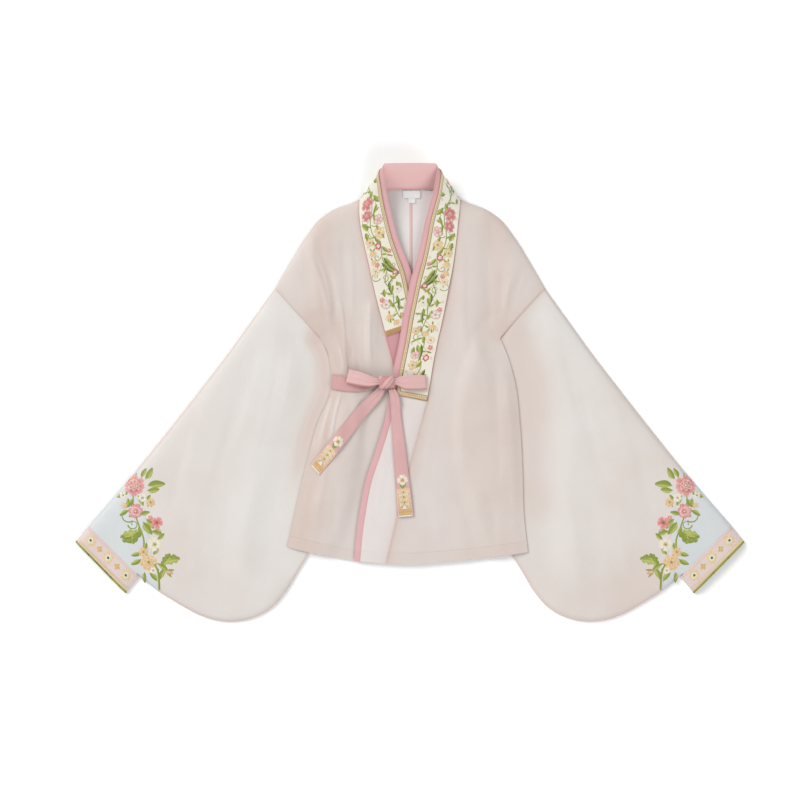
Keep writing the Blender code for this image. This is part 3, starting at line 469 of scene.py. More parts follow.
def body_edges(x, y, side):
    """How much of the loft is left near the shoulder, side edge, underarm and hem."""
    out = side * x
    shoulder = distance(out, y, SHOULDER_LINE) - FOLD_RADIUS
    sides = distance(out, y, SIDE_LINE[side])
    sides = 0.3 * bulge(sides / EDGE_ROUND) + 0.7 * ease(sides / EDGE_SLOPE)
    pinch = ease(np.hypot(out - UNDERARM[0], y - UNDERARM[1]) / PINCH_RUN)
    hem = HEM_LOFT + (1 - HEM_LOFT) * ease((y - hem_line(x)) / HEM_RUN)
    return bulge(shoulder / SHOULDER_ROUND) * sides * pinch * hem


def beside(x, y, table):
    """How far each point lies to the wearer's left of a line that runs down the front."""
    line = np.array(sorted(table, key=lambda point: point[1]), float)
    return x - np.interp(y, line[:, 1], line[:, 0])


def front_base(x, y, side):
    """Where a front lies with no loft: over the back, and pressed down at the side seam."""
    press = 1 - ease(distance(side * x, y, SIDE_LINE[side]) / SIDE_SEAM_RUN)
    return back_height(x, y, side) + SIDE_PANEL - SIDE_SEAM_PRESS * press


def hem_groove(x, y):
    """The dent that the hem's stitching presses in."""
    return HEM_GROOVE * hump(y - hem_line(x) - HEM_DEPTH, GROOVE_WIDTH)


def right_front_height(x, y, detail=1.0):
    """The inner front's upper face. It flattens where the outer front lies over it, and where
    the tie presses on it."""
    uncovered = ease(-beside(x, y, LEFT_FREE_LINE) / UNDER_FLAP_RUN)
    pressed = 1 - TIE_PRESS * hump(distance(x, y, TIE_LINE), TIE_PRESS_RUN)
    loft = FRONT_LOFT + folds_at(x, y, RIGHT_FRONT_FOLDS)
    loft = loft + detail * (creases_at(x, y, RIGHT_FRONT_CREASES) + ripple(x, y))
    loft = np.maximum(loft, 0) * pressed + 0.8 * detail * creases_at(x, y, TIE_PLEATS)
    loft = loft * uncovered * body_edges(x, y, -1)
    height = meet_at_armhole(-x, y, front_base(x, y, -1) + loft, UNDERARM_LIFT)
    return height - detail * uncovered * hem_groove(x, y)


def left_front_height(x, y, detail=1.0):
    """The outer front's upper face, a step up where the inner front lies under it."""
    over = ease(1 - beside(x, y, RIGHT_FREE_LINE) / FLAP_STEP_RUN)
    over = over * ease((FLAP_STEP_TOP - y) / PINCH_RUN)
    edge = bulge((beside(x, y, LEFT_FREE_LINE) + 6) / 60)
    loft = FRONT_LOFT + folds_at(x, y, LEFT_FRONT_FOLDS)
    loft = loft + detail * (creases_at(x, y, LEFT_FRONT_CREASES) + ripple(x, y))
    loft = np.maximum(loft, 0) * (1 - 0.55 * over) * edge * body_edges(x, y, 1)
    base = front_base(x, y, 1) + FLAP_STEP * over
    height = meet_at_armhole(x, y, base + loft, UNDERARM_LIFT)
    return height - detail * (hem_groove(x, y) + dent(distance(x, y, LEFT_GORE_SEAM)))


def seam_blush(away):
    """A seam's turned-in edges show through as a pink line and a fainter band beside it."""
    return 1.3 * hump(away, SEAM_LINE) + 0.5 * hump(away, SEAM_BAND)


def body_doubling_and_painted_shading(x, y, side, seam):
    """Doubled hem and seams, plus painted shade and light at waist, shoulder and front."""
    hem = HEM_TINT * ease((HEM_DEPTH + 1 - (y - hem_line(x))) / 2)
    out = side * x
    armhole = ARMHOLE_SHOW[side] * seam_blush(distance(out, y, ARMHOLE))
    # Painted shade and painted light: beside the side seam, on the shoulder, on the pleats beside
    # the tie, lighter on their ridges and darker between them, and across the outer front.
    painted_strength, spread = SIDE_PAINTED_SHADING[side]
    waist = painted_strength * hump(distance(out, y, SIDE_LINE[side]), spread)
    shoulder = SHOULDER_PAINTED_SHADE * hump(out - 160, 27) * ease((y - 60) / 80)
    if side < 0:
        waist = waist - PLEAT_PAINTED_SHADING * creases_at(x, y, TIE_PLEATS)
    else:
        middle = ease((out - 70) / 40) - 1.2 * hump(out - 38, 24)
        waist = waist + FRONT_PAINTED_SHADING * middle * ease((100 - y) / 80)
    return hem + np.maximum(armhole, 0.8 * seam_blush(distance(x, y, seam))) + waist + shoulder


def sleeve_doubling_and_painted_shading(out, y, side):
    """Doubled at the armhole seam, and painted shade and light by the body, at folds and across."""
    # Painted shade: a band beside the body's side edge and a dark rim along both folds. Across the
    # sleeve, painted shade on its outer part and painted light nearer the body. The sleeve also
    # turns darker towards its foot.
    painted_strength, offset, spread, foot_end = SLEEVE_PAINTED_SHADE[side]
    along_side = ease((150 - y) / 60) * ease((y - foot_end) / 150)
    band = painted_strength * hump(outside_body(out, y, side) - offset, spread)
    armhole = ARMHOLE_SHOW[side] * seam_blush(distance(out, y, ARMHOLE))
    edges = [distance(out, y, line) for line in (TOP_LINE[:-1], FOOT_LINE)]
    foot = SLEEVE_TINT[side] * ease((-190 - y) / 140)
    drift = FAR_PAINTED_SHADE * ease((out - 320) / 80) - NEAR_PAINTED_LIGHT * hump(out - 272, 50)
    return band * along_side + armhole + hump(np.minimum(*edges), FOLD_RIM) + foot + drift


print("outer front's height at the chest in mm:",
      round(float(left_front_height(np.array(110.0), np.array(150.0))), 1))

# %% [markdown]
# Every finish here is woven from the same few effects, so these are shader node groups, built
# once and placed in each material with its own values. The fine weave gives a height and a
# slight tone to each thread crossing. The slub is the thicker and thinner yarn that runs
# through the silk as faint streaks. The laid thread is the fine line of satin stitch.

# %% Shader groups for weave, slub and thread


def node(tree, kind, *ordered, **named):
    """A new node with its values, by its outputs."""
    return fill(tree, tree.nodes.new(kind), *ordered, **named)


def maths(tree, operation, *values, clamp=False):
    """A Math node's result."""
    return node(tree, "ShaderNodeMath", *values, operation=operation, use_clamp=clamp)[0]


def group_with(kind, name, inputs, outputs):
    """A node group, the values that it is given, and its output node. An input with a value is
    a number, and one without is of the type that it is named after."""
    group = bpy.data.node_groups.new(name, kind)
    for title, value in inputs.items():
        socket = group.interface.new_socket(
            title, in_out="INPUT", socket_type="NodeSocket" + (title if value is None else "Float"))
        if value is not None:
            socket.default_value = value
    for title, type_name in outputs.items():
        group.interface.new_socket(title, in_out="OUTPUT", socket_type="NodeSocket" + type_name)
    return (group, group.nodes.new("NodeGroupInput").outputs,
            group.nodes.new("NodeGroupOutput"))


def weave_group():
    """Plain weave: two sets of thread, over and under each other in turn."""
    group, given, out = group_with("ShaderNodeTree", "fine_weave",
                                   {"Vector": None, "Threads": 2600.0},
                                   {"Height": "Float", "Tone": "Float"})
    split = node(group, "ShaderNodeSeparateXYZ", given["Vector"])
    turns = maths(group, "MULTIPLY", given["Threads"], math.pi)
    across, down = (maths(group, "SINE", maths(group, "MULTIPLY", split[axis], turns))
                    for axis in "XY")
    weave = maths(group, "MULTIPLY", across, down)
    threads = maths(group, "ADD", maths(group, "ABSOLUTE", across),
                    maths(group, "ABSOLUTE", down))
    fill(group, out, maths(group, "MULTIPLY_ADD", weave, 0.5, threads),
         maths(group, "MULTIPLY_ADD", weave, 0.5, 0.5))
    return group


def slub_group():
    """Thicker and thinner yarn, as streaks that run along each set of thread."""
    group, given, out = group_with("ShaderNodeTree", "slub_streaks",
                                   {"Vector": None, "Streaks": 500.0, "Stretch": 0.05},
                                   {"Tone": "Float"})
    split = node(group, "ShaderNodeSeparateXYZ", given["Vector"])
    tones = []
    for axis, slow in ("XY", "YX"):
        stretched = maths(group, "MULTIPLY", split[slow], given["Stretch"])
        place = node(group, "ShaderNodeCombineXYZ", split[axis], stretched)[0]
        tones.append(node(group, "ShaderNodeTexNoise", Vector=place, Scale=given["Streaks"],
                          Detail=2)["Fac"])
    fill(group, out, maths(group, "MULTIPLY", maths(group, "ADD", *tones), 0.5))
    return group


def thread_group():
    """Satin stitch: threads laid side by side, each a little lighter or darker."""
    group, given, out = group_with("ShaderNodeTree", "laid_thread",
                                   {"Vector": None, "Threads": 2200.0},
                                   {"Height": "Float", "Tone": "Float"})
    split = node(group, "ShaderNodeSeparateXYZ", given["Vector"])
    place = maths(group, "MULTIPLY", split["X"], given["Threads"])
    wave = maths(group, "SINE", maths(group, "MULTIPLY", place, math.pi))
    tone = node(group, "ShaderNodeTexWhiteNoise", noise_dimensions="1D",
                W=maths(group, "FLOOR", place))["Value"]
    fill(group, out, maths(group, "ABSOLUTE", wave), tone)
    return group


WEAVE, SLUB, THREAD = weave_group(), slub_group(), thread_group()
print("shader groups:", [g.name for g in (WEAVE, SLUB, THREAD)])

# %% [markdown]
# The cloths differ in colour, gloss and yarn. The body and sleeves are a pale pink silk blend
# with a soft gloss, the sleeve ends are cool white, and the collar's edge and the tie are a
# dusty rose satin. The colours here are linear, as Blender's shaders want them. Broad, slow
# noise warms some areas and cools others, as light through a folded sheet does. Thin silk also
# looks pinker where two layers lie together, and a piece may carry that as an attribute. The
# same attribute also holds painted shade along folds, seams and edges, and painted light where
# it is below 0. Where it is high, the cloth's dark colour stands for shade.

# %% Cloth materials
Cloth = namedtuple("Cloth", "light dark roughness sheen threads weave slub")
CLOTHS = {name: Cloth(*row) for name, row in {
    "body_silk": ((0.665, 0.605, 0.575), (0.60, 0.490, 0.435), 0.46, 0.25, 2400, 0.10, 0.30),
    "sleeve_silk": ((0.70, 0.675, 0.645), (0.635, 0.550, 0.505), 0.46, 0.25, 2400, 0.10, 0.30),
    "gore_silk": ((0.72, 0.665, 0.645), (0.65, 0.570, 0.545), 0.42, 0.25, 2400, 0.10, 0.30),
    "lining_silk": ((0.76, 0.735, 0.715), (0.69, 0.65, 0.63), 0.5, 0.2, 2000, 0.10, 0.2),
    "white_silk": ((0.640, 0.660, 0.665), (0.57, 0.595, 0.605), 0.42, 0.25, 2400, 0.10, 0.25),
    "rose_satin": ((0.71, 0.420, 0.430), (0.57, 0.285, 0.300), 0.42, 0.35, 2000, 0.12, 0.4),
    # The rose satin painted lighter, for the collar's inner face: painted light.
    "rose_satin_painted_light": ((0.93, 0.61, 0.60), (0.82, 0.49, 0.48), 0.45, 0.3, 2000, 0.12, 0.4),
    "tie_satin": ((0.68, 0.425, 0.415), (0.52, 0.275, 0.265), 0.40, 0.35, 2000, 0.12, 0.4),
    "cream_silk": ((0.79, 0.76, 0.66), (0.66, 0.61, 0.49), 0.45, 0.25, 2200, 0.14, 0.3),
    "cuff_silk": ((0.68, 0.59, 0.565), (0.60, 0.48, 0.455), 0.5, 0.25, 1800, 0.16, 0.3),
    "olive_binding": ((0.32, 0.33, 0.04), (0.19, 0.21, 0.02), 0.5, 0.3, 1500, 0.2, 0.5),
    "label_satin": ((0.80, 0.81, 0.81), (0.74, 0.75, 0.75), 0.35, 0.1, 2600, 0.08, 0.1),
    "piping_silk": ((0.72, 0.50, 0.47), (0.60, 0.38, 0.36), 0.5, 0.25, 2000, 0.12, 0.3),
}.items()}
BROAD_TONES = 7.0
SEAM_AND_PAINTED_SHADE_TINT = (1.02, 0.80, 0.76)
WEAVE_DEPTH = 0.00012


def mixed(tree, share, first, second, blend="MIX"):
    """A mix of two colours. The Mix node has five other inputs before its colours."""
    return node(tree, "ShaderNodeMix", share, *[None] * 5, first, second, data_type="RGBA",
                blend_type=blend)[2]


def grain_map(tree):
    """The piece's own map, which runs the way it was cut or stitched."""
    return node(tree, "ShaderNodeUVMap", uv_map="grain")[0]


def relief(tree, height, strength):
    """The slight unevenness that a height gives."""
    return node(tree, "ShaderNodeBump", Strength=strength, Distance=WEAVE_DEPTH,
                Height=height)[0]


def woven(tree, cloth):
    """A woven cloth's finish, by its row in CLOTHS."""
    grain = grain_map(tree)
    weave = node(tree, "ShaderNodeGroup", node_tree=WEAVE, label="weave", Vector=grain,
                 Threads=cloth.threads)
    slub = node(tree, "ShaderNodeGroup", node_tree=SLUB, label="slub", Vector=grain)["Tone"]
    broad = node(tree, "ShaderNodeTexNoise", Vector=grain, Scale=BROAD_TONES, Detail=3)["Fac"]
    slow = maths(tree, "MULTIPLY_ADD", broad, 1.2, -0.4)
    # Pinker where the cloth is doubled, plus painted shade and painted light. Above 1 it goes on
    # towards the deepest tint.
    doubling_and_painted_shading = node(tree, "ShaderNodeAttribute", attribute_name="doubling_and_painted_shading")["Fac"]
    streak = maths(tree, "MULTIPLY_ADD", slub, cloth.slub, maths(tree, "MINIMUM", doubling_and_painted_shading, 1.0))
    tone = maths(tree, "ADD", slow, streak, clamp=True)
    crossing = maths(tree, "MULTIPLY_ADD", weave["Tone"], -cloth.weave, tone, clamp=True)
    deepest = tuple(c * k for c, k in zip(cloth.dark, SEAM_AND_PAINTED_SHADE_TINT))
    height = maths(tree, "MULTIPLY_ADD", slub, 0.8, weave["Height"])
    return {
        "Sheen_Weight": cloth.sheen, "Sheen_Roughness": 0.4, "Specular_IOR_Level": 0.4,
        "Base_Color": mixed(tree, maths(tree, "SUBTRACT", doubling_and_painted_shading, 1.0, clamp=True),
                            mixed(tree, crossing, cloth.light, cloth.dark), deepest),
        "Roughness": maths(tree, "MULTIPLY_ADD", slub, 0.16, cloth.roughness - 0.08),
        "Normal": relief(tree, height, 0.35)}


PAINTS = {name: material(name, woven, cloth) for name, cloth in CLOTHS.items()}
print("cloths:", list(PAINTS))

# %% [markdown]
# Needlework and braid shine more than cloth, because their threads lie side by side. One
# material serves all the embroidery: each petal and leaf carries its own thread colour as an
# attribute, and the laid-thread group draws the stitches along it. The braid's cord is a
# warm gold, and the sewing thread is matt.

# %% Thread materials
# A row says a thread's colour, roughness, sheen and share of metal.
THREADS = {
    "gold_cord": ((0.98, 0.83, 0.56), 0.36, 0.1, 0.0),
    "gold_ground": ((0.64, 0.42, 0.19), 0.5, 0.1, 0.0),
    "amber_cord": ((0.66, 0.38, 0.15), 0.4, 0.1, 0.1),
    "pale_thread": ((0.74, 0.60, 0.55), 0.55, 0.2, 0.0),
    "rose_thread": ((0.62, 0.30, 0.31), 0.55, 0.2, 0.0),
    "white_thread": ((0.86, 0.86, 0.84), 0.5, 0.2, 0.0),
    "olive_thread": ((0.30, 0.30, 0.06), 0.5, 0.2, 0.0),
}
TWIST_SCALE, TWIST_DARK = 1400, 0.62


def twisted(tree, colour, roughness, sheen, metal):
    """A twisted thread's finish."""
    where = node(tree, "ShaderNodeTexCoord")["Object"]
    twist = node(tree, "ShaderNodeTexNoise", Vector=where, Scale=TWIST_SCALE, Detail=1)["Fac"]
    dark = tuple(TWIST_DARK * c for c in colour)
    return {"Sheen_Weight": sheen, "Metallic": metal,
            "Base_Color": mixed(tree, twist, colour, dark),
            "Roughness": maths(tree, "MULTIPLY_ADD", twist, 0.2, roughness - 0.1),
            "Normal": relief(tree, twist, 0.3)}


def satin_stitch(tree):
    """Satin stitch in the colour that each point of the mesh carries."""
    laid = node(tree, "ShaderNodeGroup", node_tree=THREAD, label="stitches",
                Vector=grain_map(tree))
    tint = node(tree, "ShaderNodeAttribute", attribute_name="thread_tint")["Color"]
    shade = maths(tree, "MULTIPLY", laid["Tone"], 0.35)
    return {"Sheen_Weight": 0.15, "Specular_IOR_Level": 0.5,
            "Base_Color": mixed(tree, shade, tint, (0.6, 0.6, 0.6), "MULTIPLY"),
            "Roughness": maths(tree, "MULTIPLY_ADD", laid["Tone"], 0.15, 0.34),
            "Normal": relief(tree, laid["Height"], 0.5)}


PAINTS.update({name: material(name, twisted, *row) for name, row in THREADS.items()})
PAINTS["silk_floss"] = material("silk_floss", satin_stitch)
print("threads:", list(THREADS) + ["silk_floss"])

# %% [markdown]
# Each cut piece starts as a grid of points on its outer face, and the Solidify modifier gives
# it a wall. The grid also carries a map called grain, in metres, so the weave runs the way the
# piece was cut. The inner face can take a second cloth, which is how the lining is made. The
# flat size that each piece was cut to is worked out from the grid and printed.

# %% Helpers for cloth pieces
SHARP = math.radians(50)


def mesh_from_grid(name, points, grain, ring=False):
    """A mesh through an array of points, rows by columns. A ring's last column is its first."""
    rows, columns = points.shape[:2]
    used = columns - 1 if ring else columns
    row, column = np.meshgrid(np.arange(rows - 1), np.arange(columns - 1), indexing="ij")
    corners = [(row, column), (row, column + 1), (row + 1, column + 1), (row + 1, column)]
    faces = np.stack([r * used + c % used for r, c in corners], axis=-1).reshape(-1, 4)
    mesh = bpy.data.meshes.new(name)
    mesh.from_pydata((points[:, :used].reshape(-1, 3) * MM).tolist(), [], faces.tolist())
    layer = mesh.uv_layers.new(name="grain")
    places = np.stack([grain[r, c] for r, c in corners], axis=2).reshape(-1, 2)
    layer.data.foreach_set("uv", (places * MM).ravel())
    mesh.shade_smooth()
    return mesh


def worked_in(made):
    """An object's mesh with its modifiers worked in. They are then removed."""
    depsgraph = bpy.context.evaluated_depsgraph_get()
    mesh = bpy.data.meshes.new_from_object(made.evaluated_get(depsgraph))
    mesh.name = made.name
    made.modifiers.clear()
    return mesh


def walled(name, mesh, wall, *paints):
    """An object with a wall worked into its mesh. A second paint is for the inner face."""
    for paint in paints:
        mesh.materials.append(PAINTS[paint])
    made = add_object(name, mesh)
    thick = made.modifiers.new("wall", "SOLIDIFY")
    thick.thickness, thick.offset, thick.material_offset = wall * MM, -1, len(paints) - 1
    made.data = worked_in(made)
    made.data.shade_smooth()
    made.data.set_sharp_from_angle(angle=SHARP)
    return made


def cut_size(points):
    """The flat width, length and area of a cut piece, in metres."""
    across = np.linalg.norm(np.diff(points, axis=1), axis=2).sum(axis=1).max() * MM
    down = np.linalg.norm(np.diff(points, axis=0), axis=2).sum(axis=0).max() * MM
    a, b = points[1:, 1:] - points[:-1, :-1], points[1:, :-1] - points[:-1, 1:]
    area = np.linalg.norm(np.cross(a, b), axis=2).sum() / 2 * MM * MM
    return across, down, min(area, across * down)


def riding(made, slot, *nodes):
    """A finished piece: it goes with the jacket, and may stand for nodes of the frame."""
    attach(made, "root")
    if nodes:
        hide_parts(*nodes)
    return made


def cloth(name, points, grain, paint, slot, rests_on, lining=None, wall=FINE_CLOTH, ring=False,
          held="laid", trim=(), doubling_and_painted_shading=None):
    """A piece of cloth that stands for the frame's node of the same name. rests_on is None for
    a narrow trim."""
    mesh = mesh_from_grid(name, points, grain, ring)
    if doubling_and_painted_shading is not None:
        doubled = mesh.attributes.new("doubling_and_painted_shading", "FLOAT", "POINT")
        used = doubling_and_painted_shading[:, :-1] if ring else doubling_and_painted_shading
        doubled.data.foreach_set("value", np.ascontiguousarray(used, dtype=np.float32).ravel())
    made = walled(name + "_cloth", mesh, wall, paint, lining or paint)
    width, length, area = cut_size(points)
    riding(made, slot, name)
    if rests_on is not None:
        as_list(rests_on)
        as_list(trim)
    print(f"{name}: cut {1000 * width:.1f} x {1000 * length:.0f} mm,",
          len(made.data.polygons), "faces")
    return made


def flipped(flip, *grids):
    """Grids with their columns in reverse order, if flip is true."""
    return [grid[:, ::-1] if flip else grid for grid in grids]


def turn_of(grid, row=-1):
    """Above 0 where a grid's columns and rows run so that its outer face is up."""
    across, down = grid[0, -1] - grid[0, 0], grid[row, 0] - grid[0, 0]
    return across[0] * down[1] - across[1] * down[0]


def coons(bottom, top, inner, outer, u, v):
    """The patch between four boundary lines, each read at rows or columns of points."""
    u, v = u[None, :, None], v[:, None, None]
    corners = between(between(bottom[0], bottom[-1], u), between(top[0], top[-1], u), v)
    return (between(bottom[None], top[None], v) + between(inner[:, None], outer[:, None], u)
            - corners)


print("wall of the fine cloth in mm:", FINE_CLOTH)

# %% [markdown]
# Each half of the body is one length of cloth that runs up the front, over the shoulder and
# down the back, as a straight-cut robe is made. The two halves meet at a seam down the middle
# of the back. The front is a patch between four lines: hem, shoulder, side and the slanting
# edge that the collar and the overlap panel are sewn to. Rows are closer near the hem, so the
# stitched line can press a real groove.

# %% The two halves of the body
BODY_CORNER = 0.62
BACK_NECK = BODY_CORNER + (1 - BODY_CORNER) * 5 / 7
BACK_NECK_TOP = 365.2
BODY_SIDE_OF_SEAM = np.array([0.11, -0.1])
# Steps round a fold: how far in from its edge and how high, both in its radius.
FOLD_STEPS = [(0.293, 1.707), (0, 1), (0.293, 0.293)]
FRONT_SHARES = np.concatenate([
    np.linspace(0, 0.02, 4), np.linspace(0.0245, 0.0375, 9), np.linspace(0.045, BODY_CORNER, 92),
    np.linspace(BODY_CORNER, 1, 56)[1:]])
BACK_SHARES = np.concatenate([np.linspace(0, BODY_CORNER, 48),
                              np.linspace(BODY_CORNER, 1, 22)[1:]])
SHARES_ACROSS = np.concatenate([[0, 0.004, 0.009], np.linspace(0.02, 0.98, 64),
                                [0.990, 0.995, 1]])


def body_half(name, side, inner_front, neck_end, front_height):
    """Half the body as one sheet, from the front hem over the shoulder to the back hem."""
    shoulder = along([(abs(neck_end[0]), neck_end[1])] + SHOULDER[1:], SHARES_ACROSS)
    shoulder[-1] -= BODY_SIDE_OF_SEAM
    folded = {k: offset_line(shoulder, k * FOLD_RADIUS) * [side, 1] for k in (0, 0.293, 1)}

    def patch(inner, rows, height):
        top_share = np.clip((rows - BODY_CORNER) / (1 - BODY_CORNER), 0, 1)[:, None]
        sides = along(SIDE_EDGE[side], 1 - np.clip(rows / BODY_CORNER, 0, 1))
        armhole = (np.array(SHOULDER[-1], float) - UNDERARM) * top_share
        edge = (sides + armhole - BODY_SIDE_OF_SEAM * (top_share > 0)) * [side, 1]
        hem_x = inner[0, 0] + (edge[0, 0] - inner[0, 0]) * SHARES_ACROSS
        hem = np.stack([hem_x, hem_line(hem_x)], axis=1)
        inner = inner.copy()
        inner[0], edge[0] = hem[0], hem[-1]
        inner[-1], edge[-1] = folded[1][0], folded[1][-1]
        plan = coons(hem, folded[1], inner, edge, SHARES_ACROSS, rows)
        return with_height(plan, height(plan[..., 0], plan[..., 1]))

    front = patch(along(inner_front, FRONT_SHARES), FRONT_SHARES, front_height)
    front[-1, :, 2] = FLAT_TUBE
    bend = [with_height(folded[k], FOLD_RADIUS * z) for k, z in FOLD_STEPS]
    gap, rows = side * SEAM_GAP / 2, BACK_SHARES
    centre = np.interp(rows, [0, BACK_NECK], [hem_line(gap), BACK_NECK_TOP])
    neckline = along([(gap, BACK_NECK_TOP), (side * 36, 364.0), (side * 62, 359.4), neck_end],
                     np.clip((rows - BACK_NECK) / (1 - BACK_NECK), 0, 1))
    inner_back = np.where((rows > BACK_NECK)[:, None], neckline,
                          np.stack([np.full(len(rows), gap), centre], axis=1))
    back = patch(inner_back, rows, lambda x, y: back_height(x, y, side))
    points = flipped(side < 0, np.concatenate([front, np.array(bend), back[::-1]]))[0]
    under = ["sleeve_left_cloth" if side > 0 else "sleeve_right_cloth"]
    return cloth(name, points, points[..., :2], "body_silk", "body", under, "lining_silk",
                 doubling_and_painted_shading=body_doubling_and_painted_shading(points[..., 0], points[..., 1], side, inner_front))


for name, side, gore_seam, sections, neck_end, front_height in (
        ("body_left", 1, LEFT_GORE_SEAM, LEFT_SECTIONS, (88.2, 348), left_front_height),
        ("body_right", -1, RIGHT_GORE_SEAM, RIGHT_SECTIONS[::-1], (-90, 348),
         right_front_height)):
    collar_seam = [(s.seam_x, s.seam_y) for s in sections if s.seam_y < 340]
    body_half(name, side, joined(gore_seam[:0:-1], collar_seam, [neck_end]), neck_end,
              front_height)

# %% [markdown]
# The overlap of each front is widened by a long gore, from the collar's end to the hem. The
# outer one ends in a narrow rose edging that carries the collar's edge on down to the hem.
# All three are strips between two lines on the map, at the height of the front they belong to.

# %% The gores and the front edging
FRONT_EDGE = 11.0
STRIP_ROWS = 1 - FRONT_SHARES[FRONT_SHARES <= BODY_CORNER][::-1] / BODY_CORNER


def flat_strip(name, first, second, columns, height, paint, slot, rests_on, lining=None):
    """A strip of cloth between two lines in plan, at the height of what it is part of."""
    seam = LEFT_GORE_SEAM if height is left_front_height else RIGHT_GORE_SEAM
    plan = between(along(first, STRIP_ROWS)[:, None], along(second, STRIP_ROWS)[:, None],
                   np.linspace(0, 1, columns)[None, :, None])
    plan = flipped(turn_of(plan) < 0, plan)[0]
    points = with_height(plan, height(plan[..., 0], plan[..., 1]))
    return cloth(name, points, plan, paint, slot, rests_on, lining,
                 doubling_and_painted_shading=body_doubling_and_painted_shading(plan[..., 0], plan[..., 1], 1, seam))


edge_line = offset_line(LEFT_FREE_EDGE, -FRONT_EDGE)
flat_strip("gore_outer", edge_line + [GORE_GAP, 0], offset_line(LEFT_GORE_SEAM, GORE_GAP), 26,
           left_front_height, "gore_silk", "gore", ["body_right_cloth"], "lining_silk")
flat_strip("front_edging", LEFT_FREE_EDGE, edge_line, 7, left_front_height, "rose_satin",
           "collar", ["body_right_cloth"])
flat_strip("gore_inner", offset_line(RIGHT_GORE_SEAM, -GORE_GAP), RIGHT_FREE_EDGE, 20,
           right_front_height, "gore_silk", "gore", ["body_left_cloth"], "lining_silk")

# %% [markdown]
# A pipa sleeve is a wide tube that narrows to the wrist like a lute. Laid down, it is a tube
# pressed flat between two folds, so its rings run over the top, round the lower fold, back
# underneath and round the upper fold. The upper side has many points for the creases, and the
# underside needs few. The white sleeve end, the patterned cuff and its binding run on in line.

# %% Sleeves, sleeve ends, cuffs and bindings
CUFF_SPLIT = np.array([0, 0.905, 1])
UNDER_COLUMNS = 16
END_ROWS = np.array([1.2, 2.6])
GRAIN_TURN = math.radians(40)


def swing(count):
    """Shares from 0 to 1 that lie closer at both ends."""
    return 0.5 * (1 - np.cos(np.pi * np.linspace(0, 1, count)))


def tube(name, side, top, foot, foot_line, stations, columns, paint, slot, rests_on, lining,
         ends=(1.4, 1.4), trim=()):
    """A flattened tube between two folds, through rings from its first station to its last."""
    close = END_ROWS / lengths_along(top)[-1]
    shares = np.concatenate([[0], close, np.linspace(0, 1, stations)[1:-1], 1 - close[::-1], [1]])
    heads, feet = along(top, shares), along(foot, shares)
    head_runs, foot_runs = np.gradient(heads, axis=0), np.gradient(feet, axis=0)
    for k, inward in ((0, 1), (-1, -1)):
        line = unit(feet[k] - heads[k])
        step = np.array([-line[1], line[0]]) * SEAM_GAP * ends[k] * inward
        heads[k], feet[k] = heads[k] + step, feet[k] + step
    rings = []
    for head, end, head_run, foot_run in zip(heads, feet, head_runs, foot_runs):
        span, run = np.linalg.norm(end - head), unit(end - head)
        slants = [abs(run[0] * r[1] - run[1] * r[0]) / np.hypot(*r) for r in (head_run, foot_run)]
        turn_in = [FOLD_RADIUS * (1.6 - 0.6 * slant) / max(slant, 0.45) for slant in slants]
        upper = turn_in[0] + (span - sum(turn_in)) * np.linspace(0, 1, columns)
        under = turn_in[0] + (span - sum(turn_in)) * swing(UNDER_COLUMNS)[::-1]
        plan = head + run * upper[:, None]
        heights = sleeve_height(plan[:, 0], plan[:, 1], side, foot_line)
        heights[0], heights[-1] = FLAT_TUBE, FLAT_TUBE
        ring = list(zip(upper, heights))
        ring += [(span - turn_in[1] * a, FOLD_RADIUS * z) for a, z in FOLD_STEPS]
        ring += [(d, 0.0) for d in under]
        ring += [(turn_in[0] * a, FOLD_RADIUS * z) for a, z in reversed(FOLD_STEPS)]
        rings.append([(*(head + run * d), z) for d, z in ring + ring[:1]])
    points = np.array(rings)
    doubling_and_painted_shading = sleeve_doubling_and_painted_shading(points[..., 0], points[..., 1], side) * (name.startswith("sleeve"))
    points, doubling_and_painted_shading = flipped(side < 0, points * [side, 1, 1], doubling_and_painted_shading)
    c, s = math.cos(GRAIN_TURN), math.sin(GRAIN_TURN) * side
    return cloth(name, points, points[..., :2] @ np.array([[c, -s], [s, c]]), paint, slot,
                 rests_on, lining, ring=True, trim=trim, doubling_and_painted_shading=doubling_and_painted_shading)


for side, word in ((1, "left"), (-1, "right")):
    tube(f"sleeve_{word}", side, SLEEVE_TOP, SLEEVE_FOOT, FOOT_LINE, 84, 96, "sleeve_silk",
         "sleeve", ["table"], "lining_silk")
    tube(f"sleeve_end_{word}", side, SLEEVE_END_TOP, SLEEVE_END_FOOT, FOOT_LINE, 26, 52,
         "white_silk", "sleeve_end", ["table"], "lining_silk")
    top, foot = along(CUFF_TOP, CUFF_SPLIT), along(CUFF_FOOT, CUFF_SPLIT)
    binding = tube(f"cuff_binding_{word}", side, top[1:], foot[1:], CUFF_FOOT, 4, 36,
                   "olive_binding", "cuff_binding", None, "olive_binding", ends=(1.4, 0))
    tube(f"cuff_{word}", side, top[:2], foot[:2], CUFF_FOOT, 10, 36, "cuff_silk", "cuff",
         ["table"], "cuff_silk", trim=[binding])

# %% [markdown]
# The cross collar is one long strip. It lies on both fronts, climbs at the shoulders and stands
# up behind the neck, half turned over, so its inner side shows. Sections along its length give
# the seam and the free edge, and everything on the collar is placed by two numbers: how far
# along it lies, and what share of the width from the seam. The wall swells a little between
# its sewn edges.

# %% Collar, embroidered band and braid
BAND_SHARES, BRAID_SHARES = (0.012, 0.727), (0.737, 0.832)
RIGHT_BAND_END = 100.0
COLLAR_ROW, TURN_ROW, TURN_FROM, TURN_TO = 5.0, 2.6, 10, 15
COLLAR_RAISED, COLLAR_SWELL = 0.2, 0.5
BAND_LIFT, BRAID_LIFT = 1.7, 1.9
